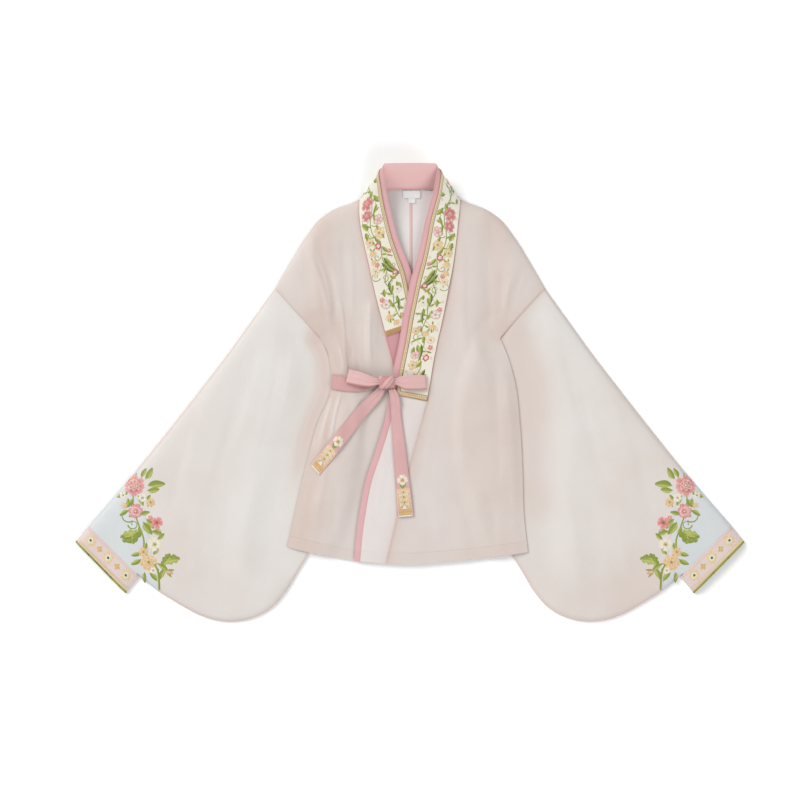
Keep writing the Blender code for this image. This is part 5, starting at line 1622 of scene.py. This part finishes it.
# %% [markdown]
# The band on each side of the collar carries the same winding spray, mirrored, from behind the
# shoulder down: coral peonies at the top, then smaller pink and peach flowers, and long green
# leaves and tendrils below. It is set out by one list, where u runs down from the shoulder and
# v across from the seam to the braid. A band takes only the part of the list that fits, and
# the outer one starts a little lower, as on a strip cut from one long embroidered length.

# %% Embroidery on the collar band
BAND_WIDTH, BAND_MARGIN = 47.0, 0.8
HALF = len(SEAM) // 2
SHOULDER_MARK = {1: float(np.interp(344.7, SEAM[:HALF, 1], COLLAR_MARKS[:HALF])),
                 -1: float(np.interp(-344.7, -SEAM[HALF:, 1], COLLAR_MARKS[HALF:]))}
Motif = namedtuple("Motif", "kind u v size turn way", defaults=[1])
BAND_MOTIFS = [Motif(*row) for row in (
    ("bloom", -60, 24, 9, 20), ("leaf", -66, 36, 14, 150), ("leaf", -52, 10, 14, 30, -1),
    ("leafy", -18, 20, 14, 170), ("star", -34, 34, 6, 20), ("leaf", -10, 38, 17, 60),
    ("leaf", -4, 10, 15, 200, -1), ("leaf", 4, 34, 20, -30, -1), ("peony", 20, 19, 16, 10),
    ("peony", 42, 16, 13, 45), ("leaf", 12, 36, 20, 20), ("leaf", 30, 40, 17, -25, -1),
    ("leaf", 44, 30, 15, 10, -1), ("leaf", 52, 4, 16, 25), ("pale", 57, 37, 10.5, 0),
    ("scroll", 62, 22, 8, 20), ("lobed", 70, 12, 19, 195), ("lobed", 72, 7, 17, 15, -1),
    ("peach", 80, 33, 12, 12), ("peach", 92, 11, 9.5, 40), ("leaf", 86, 22, 16, 30),
    ("leaf", 92, 40, 13, 200, -1), ("round", 102, 25, 7.5, 0), ("leaf", 104, 32, 17, 20),
    ("star", 116, 42, 5, 20), ("tulip", 108, 10, 15, 10), ("tulip", 124, 8, 13, 20, -1),
    ("scroll", 122, 24, 6.5, -10, -1), ("long", 124, 28, 44, 14), ("long", 132, 22, 40, 24),
    ("scroll", 142, 36, 5, 10), ("gilt", 144, 9, 8, 10), ("scroll", 158, 14, 9, -40, -1),
    ("scroll", 166, 18, 7, 60), ("long", 168, 26, 26, -14), ("leaf", 172, 38, 18, 12),
    ("ivory", 186, 37, 8.5, 0), ("leaf", 190, 26, 15, 170, -1), ("outline", 206, 13, 10, 15),
    ("long", 196, 34, 30, 10, -1), ("leaf", 214, 30, 14, 40), ("bud", 228, 33, 13, 20),
    ("tulip", 224, 14, 16, -10), ("tulip", 238, 20, 14, 30, -1), ("gilt", 254, 12, 9, 0),
    ("scroll", 250, 30, 7.5, 20), ("long", 262, 26, 32, -16), ("leaf", 266, 38, 18, 10, -1),
    ("round", 286, 14, 7, 0), ("leaf", 292, 20, 18, 30), ("peach", 300, 34, 10, 15),
    ("long", 306, 12, 30, 8), ("leaf", 314, 30, 17, -20, -1), ("tulip", 322, 40, 12, 10),
    ("ivory", 330, 22, 7.5, 10), ("bud", 342, 34, 12, -10), ("leaf", 344, 12, 15, 15),
    ("leaf", 64, 30, 14, 30, -1), ("leaf", 98, 20, 14, 220), ("star", 134, 14, 6, 0),
    ("leaf", 150, 22, 14, 160, -1), ("leaf", 158, 30, 13, 30), ("round", 156, 40, 6, 0),
    ("leaf", 178, 16, 15, -20), ("star", 196, 8, 5.5, 10), ("leaf", 198, 20, 14, 10, -1),
    ("leaf", 216, 24, 15, 190), ("peach", 238, 40, 8, 0), ("leaf", 240, 14, 14, 200, -1),
    ("leaf", 246, 26, 15, -20), ("star", 268, 10, 6, 0), ("leaf", 276, 28, 15, 150),
    ("pale", 282, 34, 9, 0), ("long", 352, 26, 20, 5))]
BAND_VINE = [(-70, 22), (-40, 26), (-12, 24), (12, 30), (36, 28), (58, 20), (78, 20), (100, 30),
             (124, 26), (146, 28), (166, 20), (188, 28), (212, 26), (236, 30), (258, 22),
             (282, 24), (304, 20), (326, 30), (350, 24), (372, 22)]
BAND_SCROLL = [(-64, 12), (-44, 14), (-24, 30), (-2, 22), (20, 38), (40, 34), (60, 12),
               (84, 16), (104, 18), (120, 36), (144, 18), (164, 34), (186, 18), (206, 36),
               (230, 18), (252, 36), (274, 16), (296, 30), (318, 18), (340, 30), (364, 18)]
SEED_PITCH, SPRIG, SPRIG_LEAN = 13.0, 11.5, (-24, 8, 30)
BAND_SHIFT = {1: 22, -1: 0}
# A flower's rings, from the outside in. A row says its share of the flower's size, how far it
# is turned, its petals and colours, and what else Needlework.flower takes.
FLOWERS = {
    "peony": [(1, 0, 5, (DEEP_CORAL, CORAL), "notched", BUTTER, 0, 0, 0.92, IVORY),
              (0.66, 36, 5, (DEEP_CORAL, CORAL), "notched", BUTTER, 0, 0.35, 0.85, PALE_PINK),
              (0.32, 0, 4, (DEEP_CORAL, PINK), "round", BUTTER, 5, 0.7, 1, IVORY)],
    "pale": [(1, 0, 5, (PALE_PINK, IVORY), "notched", BUTTER, 0, 0, 1, CORAL),
             (0.45, 0, 5, (CORAL, PALE_PINK), "notched", BUTTER, 5, 0.3)],
    "bloom": [(1, 0, 6, (DEEP_CORAL, PINK), "round", BUTTER, 4, 0, 1, PALE_PINK, 2)],
    "peach": [(1, 0, 5, (PEACH, BUTTER), "notched", OLIVE, 0, 0, 0.85, PEACH),
              (0.52, 30, 5, (GOLD, BUTTER), "notched", OLIVE, 4, 0.4, 1, CREAM)],
    "gilt": [(1, 0, 5, (BUTTER, CREAM), "notched", GOLD, 5, 0, 1, PEACH)],
    "round": [(1, 0, 6, (DEEP_CORAL, CORAL), "round", IVORY, 0, 0, 1, PINK),
              (0.5, 0, 5, (IVORY, IVORY), "round", OLIVE, 1, 0.4)],
    "star": [(1, 0, 5, (CORAL, PINK), "round", BUTTER, 4, 0, 0.8, PALE_PINK)],
    "outline": [(1, 0, 5, (IVORY, IVORY), "notched", GOLD, 5, 0, 1, CORAL)],
    "ivory": [(1, 0, 5, (IVORY, IVORY), "round", GOLD, 5, 0, 1, BUTTER)],
    "bigpeony": [(1, 0, 8, (CORAL, PINK), "notched", BUTTER, 0, 0, 1, PALE_PINK),
                 (0.78, 24, 7, (DEEP_CORAL, CORAL), "notched", BUTTER, 0, 0.35, 1, PALE_PINK),
                 (0.55, 0, 6, (DEEP_CORAL, PINK), "notched", BUTTER, 0, 0.7, 1, IVORY),
                 (0.3, 0, 5, (DEEP_CORAL, PALE_PINK), "round", BUTTER, 7, 1.05, 1, BUTTER)],
    "bigpink": [(1, 0, 7, (CORAL, PALE_PINK), "notched", BUTTER, 0, 0, 1, CORAL),
                (0.68, 26, 6, (CORAL, PALE_PINK), "notched", BUTTER, 0, 0.35, 1, IVORY),
                (0.4, 0, 5, (DEEP_CORAL, PALE_PINK), "notched", BUTTER, 6, 0.7, 1, CORAL)],
    "bigstar": [(1, 0, 5, (CORAL, PINK), "notched", OLIVE, 6, 0, 0.95, PALE_PINK)],
    "bigivory": [(1, 0, 6, (IVORY, IVORY), "notched", GOLD, 0, 0, 1, BUTTER),
                 (0.4, 0, 5, (GOLD, BUTTER), "slim", OLIVE, 6, 0.4)],
    "bigpeach": [(1, 0, 8, (GOLD, PEACH), "notched", OLIVE, 0, 0, 1, BUTTER),
                 (0.72, 24, 7, (GOLD, PEACH), "notched", OLIVE, 0, 0.35, 1, CREAM),
                 (0.42, 0, 5, (GOLD, BUTTER), "notched", OLIVE, 7, 0.7, 1, PEACH)],
}
# A leaf's blades: turn, length, width and bend as shares of its size, and its form and greens.
LEAVES = {"leaf": [(0, 1, 0.46, 0.2)], "lobed": [(0, 1, 0.66, 0.14, "lobed")],
          "long": [(0, 1, 0.18, 0.3, "slim", LIGHT_LEAF, DARK_LEAF),
                   (26, 0.55, 0.15, -0.12, "slim")]}
SCROLLS = {"scroll": 2.2, "bigscroll": 3.4}


def stitch_motif(work, kind, u, v, size, turn, way):
    """One motif of a spray, by its kind."""
    for share, turned, *ring in FLOWERS.get(kind, ()):
        work.flower(u, v, size * share, turn + turned, *ring)
    for turned, long, wide, bend, *blade in LEAVES.get(kind, ()):
        work.leaf(u, v, turn + turned * way, size * long, size * wide, way * size * bend, *blade)
    if kind in SCROLLS:
        work.scroll(u, v, turn, size, way, SCROLLS[kind])
    elif kind == "tulip":
        for k, lean in enumerate((-58, 58, -28, 28, 0)):
            work.petal(u, v, turn + lean, size * (0.75 + 0.06 * k), size * 0.22,
                       (PEACH, BUTTER), "slim", level=0.1 * k, bend=-0.05 * lean)
        work.leaf(u, v, turn + 180, size * 0.45, size * 0.22, 0, "slim")
    elif kind == "leafy":
        work.spray(u, v, turn, size * 2, 4, size * 0.7)
    elif kind == "bud":
        for lean in (1, -1):
            work.leaf(u, v, turn + 24 * lean, size, size * 0.32, way * lean, "slim")
        work.petal(u, v, turn, size * 0.85, size * 0.42, (PEACH, PALE_PINK), "pointed",
                   level=0.25, rim=CORAL)


def band_work(end, shift):
    """The spray as far as the band's end, moved along the band by a shift."""
    work = Needlework()
    for table, width, tints in ((BAND_SCROLL, 1.5, (OLIVE, LIGHT_LEAF)),
                                (BAND_VINE, 2.6, (LEAF, OLIVE))):
        vine = [(u + shift, v) for u, v in table if u + shift < end - 4]
        work.stem(vine, width, tints, taper=0.2)
    for k, (u, v) in enumerate(BAND_SCROLL):
        for turn in (70, -70):
            if u + shift + SPRIG < end:
                work.leaf(u + shift, v, turn + SPRIG_LEAN[k % 3], SPRIG, SPRIG * 0.36,
                          turn / 30, "slim", level=-0.1)
    for k in range(int((end + 50) / SEED_PITCH)):
        u, v = -56 + SEED_PITCH * k, (4.6, 42.4, 42.4, 4.6)[k % 4]
        for du, dv in ((-1.6, 0), (1.6, 0), (0, 2.2)):
            work.knots.append((u + du, v + dv, 0.3, (GOLD, BUTTER)[k % 2]))
    for m in BAND_MOTIFS:
        reach = m.size * (0.55 if m.kind in ("leaf", "long", "lobed", "bud", "tulip") else 1)
        if m.u + shift + reach < end:
            stitch_motif(work, *m._replace(u=m.u + shift))
    return work


def band_surface(side):
    """Where the plan of one side's spray lies on the collar band."""

    def surface(u, v, h):
        share = np.clip(v, BAND_MARGIN, BAND_WIDTH - BAND_MARGIN) / BAND_WIDTH
        share = BAND_SHARES[0] + (BAND_SHARES[1] - BAND_SHARES[0]) * share
        return on_collar(SHOULDER_MARK[side] - side * u, share, BAND_LIFT + h)

    return surface


END_BRAID, END_PAST = 9.0, 4.6
BAND_ENDS = {1: SHOULDER_MARK[1] - band_places[0], -1: band_places[-1] - SHOULDER_MARK[-1]}
band_knots = []
for side, word in ((1, "outer"), (-1, "inner")):
    work, surface = band_work(BAND_ENDS[side] - END_BRAID, BAND_SHIFT[side]), band_surface(side)
    sewn(f"collar_spray_{word}", work, surface, "collar_band")
    band_knots.append((work, surface))
knotted("collar_knots", band_knots, "collar_band")

# %% [markdown]
# Gold braid finishes the band's inner edge and its two ends. Real braid is a fine cord that
# swings from side to side, held down by stitches. Two cords that swing against each other make
# the links that show here, and the geometry tree draws them from one line down the middle.

# %% Braid on the collar
# How far each end strip runs past the band, where it stops across, its wall, ground and cord.
END_STRIPS = {1: (END_PAST, BRAID_SHARES[1] - 0.004, 2.0, "gold_ground", "gold_cord"),
              -1: (0.0, BAND_SHARES[1] - 0.012, 0.4, "amber_cord", "amber_cord")}
STRIP_COLUMNS = 24


def braid_on(name, line, sides, paint, slot, pitch, swing, radius):
    """Two cords that swing against each other along one line."""
    for word, start in (("over", math.pi / 4), ("under", math.pi * 5 / 4)):
        grown(f"{name}_{word}", lines_mesh(name, [line], [sides]), CORD, paint, slot,
              Pitch=pitch * MM, Swing=swing * MM, Start=start, Cord_Radius=radius * MM)


braid_places, braid_middle = COLLAR_MARKS[1:band_last + 2], sum(BRAID_SHARES) / 2
braid_side = unit(on_collar(braid_places, braid_middle + 0.02, BRAID_LIFT) -
                  on_collar(braid_places, braid_middle - 0.02, BRAID_LIFT))
braid_on("collar_braid_cord", on_collar(braid_places, braid_middle, BRAID_LIFT + 0.1),
         braid_side, "gold_cord", "braid", 5.6, 2.5, 0.7)

for side, word in ((1, "outer"), (-1, "inner")):
    past, last, wall, ground, cord = END_STRIPS[side]
    strip_u = BAND_ENDS[side] + past - np.linspace(0.2, END_BRAID, 9)
    shares = np.linspace(BAND_SHARES[0] + 0.004, last, STRIP_COLUMNS)
    strip = on_collar(SHOULDER_MARK[side] - side * strip_u[:, None], shares[None, :],
                      BAND_LIFT + 0.45)
    grain = np.stack(np.meshgrid(shares * BAND_WIDTH, strip_u), axis=-1)
    strip_mesh = mesh_from_grid(f"band_end_{word}", flipped(side > 0, strip)[0], grain)
    riding(walled(f"band_end_{word}", strip_mesh, wall, ground), "braid")
    place = np.full(STRIP_COLUMNS,
                    SHOULDER_MARK[side] - side * (BAND_ENDS[side] + past - END_BRAID / 2))
    share = np.linspace(shares[0] + 0.01, shares[-1] - 0.01, STRIP_COLUMNS)
    across = unit(on_collar(place - side * 0.5, share) - on_collar(place + side * 0.5, share))
    braid_on(f"band_end_cord_{word}", on_collar(place, share, BAND_LIFT + 0.75), across, cord,
             "braid", 8.0, 3.0, 0.75)

# %% [markdown]
# A larger spray winds up the joint between each sleeve and its white end: a coral peony near
# the fold, then pink, ivory and peach flowers, with lobed leaves and curling tendrils. The
# plan is set out beside the joint, with d down the joint and e across it towards the cuff, and
# mirrored for the other sleeve.

# %% Embroidery on the sleeves
JOINT_TOP, JOINT_FOOT = np.array(JOINT, float)
JOINT_RUN = unit(JOINT_FOOT - JOINT_TOP)
JOINT_SIDE = np.array([-JOINT_RUN[1], JOINT_RUN[0]])
SLEEVE_MOTIFS = [Motif(*row) for row in (
    ("leaf", 38, 24, 24, 60), ("leaf", 48, 8, 22, 330), ("leaf", 72, 28, 20, 80, -1),
    ("leaf", 84, 10, 20, 250), ("leaf", 72, -6, 18, 215, -1), ("tulip", 60, 30, 13, 60),
    ("leaf", 116, -6, 22, 285), ("leaf", 132, -14, 18, 250, -1), ("star", 92, -8, 6, 0),
    ("leaf", 162, 20, 22, 60), ("leaf", 176, -8, 22, 300), ("leaf", 158, -2, 20, 235, -1),
    ("ivory", 186, 2, 8, 0), ("leaf", 22, -10, 26, 232, -1), ("leaf", 34, -12, 34, 262),
    ("leaf", 42, -10, 24, 285, -1), ("leaf", 18, -4, 20, 205), ("bigpeony", 29, 11, 22, 15),
    ("ivory", 54, 0, 10, 20), ("ivory", 44, 34, 8, 0), ("leaf", 52, 16, 24, 40),
    ("leaf", 50, 26, 17, 10, -1), ("bigpeach", 64, -13, 10, 0), ("leaf", 60, -4, 15, 240, -1),
    ("bigpink", 76, 16, 15, 10), ("bigscroll", 92, 24, 14, 60), ("bigscroll", 98, 34, 10, 0, -1),
    ("leaf", 96, 6, 30, 345, -1), ("leaf", 92, 0, 24, 320), ("bigstar", 102, -18, 13, 0),
    ("scroll", 118, -10, 8, 200), ("lobed", 112, 12, 40, 62), ("lobed", 118, 18, 34, 100, -1),
    ("lobed", 108, 20, 28, 30, -1), ("leaf", 120, 10, 18, 150), ("bigivory", 140, -8, 15, 8),
    ("leaf", 134, 6, 20, 20), ("leaf", 150, 18, 20, 70), ("bigpeach", 150, 14, 11, 15),
    ("bigpeach", 170, 8, 18, 0), ("leaf", 186, 18, 20, 20, -1), ("lobed", 172, -16, 34, 262),
    ("lobed", 180, -14, 28, 232, -1), ("bigscroll", 192, -12, 11, 235, -1),
    ("bud", 190, -20, 17, 300), ("leaf", 204, -8, 24, 200), ("leaf", 206, -2, 22, 160, -1))]
SLEEVE_VINE = [(8, 4), (34, 12), (58, 18), (80, 18), (104, 14), (128, 10), (150, 12),
               (168, 2), (188, -6), (208, -5), (222, -3)]


def on_axes(origin, run, across, u, v):
    """Plan points at lengths along two directions from an origin."""
    return origin + run * np.asarray(u)[..., None] + across * np.asarray(v)[..., None]


def round_the_fold(plan, heights, lift):
    """Plan points and heights, with those that lie past the upper fold wrapped round it."""
    line = np.array(TOP_LINE, float)
    runs, starts = np.diff(line, axis=0), line[:-1]
    lengths = np.linalg.norm(runs, axis=1)
    runs = unit(runs)
    inwards = np.stack([runs[:, 1], -runs[:, 0]], axis=1)
    gaps = plan[:, None] - starts
    nearest = np.abs((gaps * runs).sum(-1) / lengths - 0.5).argmin(axis=1)
    away = (gaps * inwards).sum(-1)[np.arange(len(plan)), nearest]
    past = FOLD_RADIUS - away
    turn = np.clip(past / FOLD_RADIUS, 0, np.pi)
    round_it = FOLD_RADIUS - (FOLD_RADIUS + lift) * np.sin(turn)
    round_it = round_it + np.clip(past - np.pi * FOLD_RADIUS, 0, None)
    moved = plan + inwards[nearest] * (round_it - away)[:, None]
    lowered = FOLD_RADIUS + (FOLD_RADIUS + lift) * np.cos(turn)
    return (np.where(past[:, None] > 0, moved, plan),
            np.where(past > 0, lowered, heights + lift))


def sleeve_surface(side):
    """Where the plan of the sleeve's spray lies, d down the joint and e towards the cuff."""

    def surface(d, e, h):
        plan = on_axes(JOINT_TOP, JOINT_RUN, JOINT_SIDE, d, e)
        z = sleeve_height(plan[..., 0], plan[..., 1], side, FOOT_LINE)
        plan, z = round_the_fold(plan, z, h)
        return with_height(plan * [side, 1], z)

    return surface


sleeve_knots = []
for side, word in ((1, "left"), (-1, "right")):
    work, surface = Needlework(), sleeve_surface(side)
    work.stem(SLEEVE_VINE[::-1], 5.0, (LEAF, OLIVE), 0.6, taper=0.6)
    for m in SLEEVE_MOTIFS:
        stitch_motif(work, *m)
    sewn(f"sleeve_spray_{word}", work, surface, "sleeve_end")
    sleeve_knots.append((work, surface))
knotted("sleeve_knots", sleeve_knots, "sleeve_end", 0.0009)

# %% [markdown]
# The cuff band has a common woven repeat: cream daisies with dark hearts, and peach diamonds
# between them, with a pink line at its inner edge and a gold cord near the binding. The tails
# of the tie end in a small worked panel: a white flower, a gold net, a little triangle and
# three lines.

# %% Cuffs' repeat and the tails' ends
CUFF_ORIGIN = np.array(CUFF_TOP[0])
CUFF_DOWN, CUFF_OUT = np.array(CUFF_FOOT[0]) - CUFF_ORIGIN, np.array([24.5, -30.0])
CUFF_LENGTH = float(np.linalg.norm(CUFF_DOWN))
CUFF_DOWN, CUFF_OUT = unit(CUFF_DOWN), unit(CUFF_OUT)
CUFF_PITCH, CUFF_FIRST, CUFF_MIDDLE, CUFF_BRAID = 44.5, 20.0, 15.5, 31.4
CUFF_CORD_INSET, CUFF_CORD_POINTS = 2.4, 40
CUFF_LINES = [(2.2, 1.6, PALE_PINK, 0.35), (4.6, 0.9, PEACH, 0.3), (28.2, 1.0, PALE_PINK, 0.3),
              (31.4, 5.4, BUTTER, 0.2), (34.4, 0.9, PEACH, 0.3)]
TAIL_WIDTH = 24.0
TAIL_LINES = [(1.8, 2.6, IVORY), (5.6, 1.8, PEACH), (9.0, 2.2, GOLD), (12.4, 1.6, PINK),
              (49.0, 1.8, PEACH)]


def cuff_surface(side):
    """Where a plan lies on the cuff, u down the cuff and v towards the hand."""

    def surface(u, v, h):
        plan = on_axes(CUFF_ORIGIN, CUFF_DOWN, CUFF_OUT, u, v)
        z = sleeve_height(plan[..., 0], plan[..., 1], side, CUFF_FOOT)
        return with_height(plan * [side, 1], z + h)

    return surface


def cuff_work():
    """Three daisies with diamonds between them, and the lines at both edges."""
    work = Needlework()
    for k in range(3):
        u = CUFF_FIRST + CUFF_PITCH * k
        work.flower(u, CUFF_MIDDLE, 11.5, 0, 12, (BUTTER, BUTTER), rim=PEACH)
        work.flower(u, CUFF_MIDDLE, 6.2, 12, 8, (IVORY, IVORY), level=0.3, rim=BUTTER)
        work.petal(u - 2.9, CUFF_MIDDLE, 0, 5.8, 5.0, (DARK_LEAF, DARK_LEAF), "pointed",
                   level=0.8)
        for angle in np.radians(np.arange(15, 360, 30)):
            work.knots.append((u + 13.2 * math.cos(angle),
                               CUFF_MIDDLE + 11.8 * math.sin(angle), 0.2, BUTTER))
    for k in range(3):
        u = CUFF_FIRST + CUFF_PITCH * (k + 0.5)
        if u < CUFF_LENGTH - 6:
            for turn in (0, 90, 180, 270):
                work.petal(u, CUFF_MIDDLE, turn, 7.4, 6.4, (GOLD, PEACH), "pointed", rim=BUTTER)
            work.petal(u - 1.6, CUFF_MIDDLE, 0, 3.2, 3.2, (BUTTER, BUTTER), "pointed",
                       level=0.4)
    for v, width, tint, height in CUFF_LINES:
        work.stem([(3, v), (CUFF_LENGTH / 2, v), (CUFF_LENGTH - 3, v)], width, (tint, tint),
                  height, taper=0)
    return work


def tail_surface(face):
    """Where a plan lies on a tail, u up from its end and v across from its middle."""
    return lambda u, v, h: face.at(1 - u / face.length, 0.5 + v / face.width, h)


def tail_work():
    """The worked panel at a tail's end: a gold ground, a net, a triangle and three lines."""
    work = Needlework()
    wide = TAIL_WIDTH / 2 - 1.5
    work.petal(0.8, 0, 0, 50, TAIL_WIDTH - 2.2, (GOLD, BUTTER), "square", 0.34)
    for u, width, tint in TAIL_LINES:
        work.stem([(u, -wide), (u, 0), (u, wide)], width, (tint, tint), 0.4, 0.3, taper=0)
    for v in (-wide, wide):
        work.stem([(2, v), (24, v), (49, v)], 1.6, (PALE_PINK, PALE_PINK), 0.4, 0.2, taper=0)
    for start in (22, 31, 40):
        for way in (1, -1):
            work.stem([(start, -way * wide), (start + 4.5, 0), (start + 9, way * wide)], 1.3,
                      (PINK, PALE_PINK), 0.35, 0.35, taper=0)
            work.flower(start, way * 5.2, 3.0, 45, 4, (IVORY, IVORY), knots=1, level=0.4,
                        rim=PEACH)
        work.leaf(start + 2, 0, 0, 5, 3, level=0.4)
    work.petal(13.6, 0, 0, 9, 11, (IVORY, IVORY), "triangle", level=0.6, rim=PINK)
    for way in (1, -1):
        work.leaf(51, 0, 26 * way, 11, 4.4, 0.8 * way)
    work.flower(66, 0, 10.4, 0, 4, (IVORY, IVORY), "notched", rim=BUTTER)
    work.flower(66, 0, 4.2, 20, 6, (GOLD, PEACH), knots=5, level=0.5)
    return work


trim_knots = []
for side, word, tail_word, face in ((1, "left", "right", right_tail_face),
                                    (-1, "right", "left", left_tail_face)):
    cuff, tail = (cuff_work(), cuff_surface(side)), (tail_work(), tail_surface(face))
    sewn(f"cuff_repeat_{word}", *cuff, "cuff")
    u = np.linspace(CUFF_CORD_INSET, CUFF_LENGTH - CUFF_CORD_INSET, CUFF_CORD_POINTS)
    low, middle, high = (cuff[1](u, np.full_like(u, CUFF_BRAID + step), np.full_like(u, lift))
                         for step, lift in ((-0.5, 0), (0, 0.45), (0.5, 0)))
    braid_on(f"cuff_cord_{word}", middle, unit(high - low), "gold_cord", "cuff", 5.0, 1.9, 0.45)
    sewn(f"tail_panel_{tail_word}", *tail, "tie")
    trim_knots += [cuff, tail]
knotted("tail_knots", trim_knots, "tie")

# %% [markdown]
# Last comes the plain sewing: the hem's line of running stitch, and a line beside the seams of
# the collar, the gore and the armholes. Each line is drawn on the cloth, just above its height,
# and the stitch tree lays the thread.

# %% Running stitches
STITCH_ABOVE = 0.12


def stitched(name, lines, paint, slot, *sizes):
    """Running stitch along lines. The sizes are its spacing, length and the thread's radius."""
    sizes = dict(zip(("Spacing", "Stitch_Length", "Thread_Radius"), sizes))
    grown(name, lines_mesh(name, lines), STITCHES, paint, slot, **sizes)


def on_front(side, plan):
    """Plan points on a front, just above the cloth."""
    height = left_front_height if side > 0 else right_front_height
    return with_height(plan, height(plan[:, 0], plan[:, 1]) + STITCH_ABOVE)


def hem_stitches(side, x_from, x_to):
    """The hem's line on one front."""
    x = np.linspace(x_from, x_to, 160)
    return on_front(side, np.stack([x, hem_line(x) + HEM_DEPTH], axis=1))


hem_start = float(np.interp(-288, [-308, -228], [-43.4, -24.5])) + 2
hem_end = float(np.interp(-285, [-303, -256], [-100.5, -96.5])) + FRONT_EDGE + 1
stitched("hem_stitches", [hem_stitches(1, hem_start, 209),
                          hem_stitches(1, hem_end, hem_start - 4),
                          hem_stitches(-1, -215, -104)], "pale_thread", "body")

gore_seam = offset_line(along(LEFT_GORE_SEAM, np.linspace(0, 0.985, 120)), -2.2)
seam_lines = [on_front(1, gore_seam)]
for side in (1, -1):
    armhole = np.linspace(*ARMHOLE, 60)[4:-4] * [side, 1] - [side * 2.4, -1.6]
    seam_lines.append(on_front(side, armhole))
stitched("seam_stitches", seam_lines, "pale_thread", "body", 0.0028, 0.0019, 0.0002)

edging_line = offset_line(along(LEFT_FREE_EDGE, np.linspace(0.01, 0.99, 160)), -FRONT_EDGE + 1.4)
stitched("collar_stitches",
         [on_front(1, edging_line)] + [on_collar(COLLAR_MARKS[2:-2], share, 0.1)
                                       for share in (0.975, 0.845)],
         "rose_thread", "collar", 0.003, 0.002, 0.00022)

tie_lines = [face.at(np.linspace(start, end, count), share, 0.06)
             for face, start, end, count in ((left_tail_face, 0.12, 0.985, 120),
                                             (right_tail_face, 0.12, 0.985, 120),
                                             (side_face, 0.02, 0.8, 50))
             for share in (0.05, 0.95)]
stitched("tie_stitches", tie_lines, "rose_thread", "tie", 0.003, 0.002, 0.0002)

label_line = np.linspace((NECK_LABEL[0] + 1, NECK_LABEL[3] - 1.2),
                         (NECK_LABEL[2] - 1, NECK_LABEL[3] - 1.2), 20)
label_curl = LABEL_CURL * np.cos(np.linspace(0, 2 * np.pi, 20))
stitched("label_stitches", [with_height(label_line, LABEL_HEIGHT + 0.1 + label_curl)],
         "white_thread", "label", 0.0024, 0.0017, 0.0002)
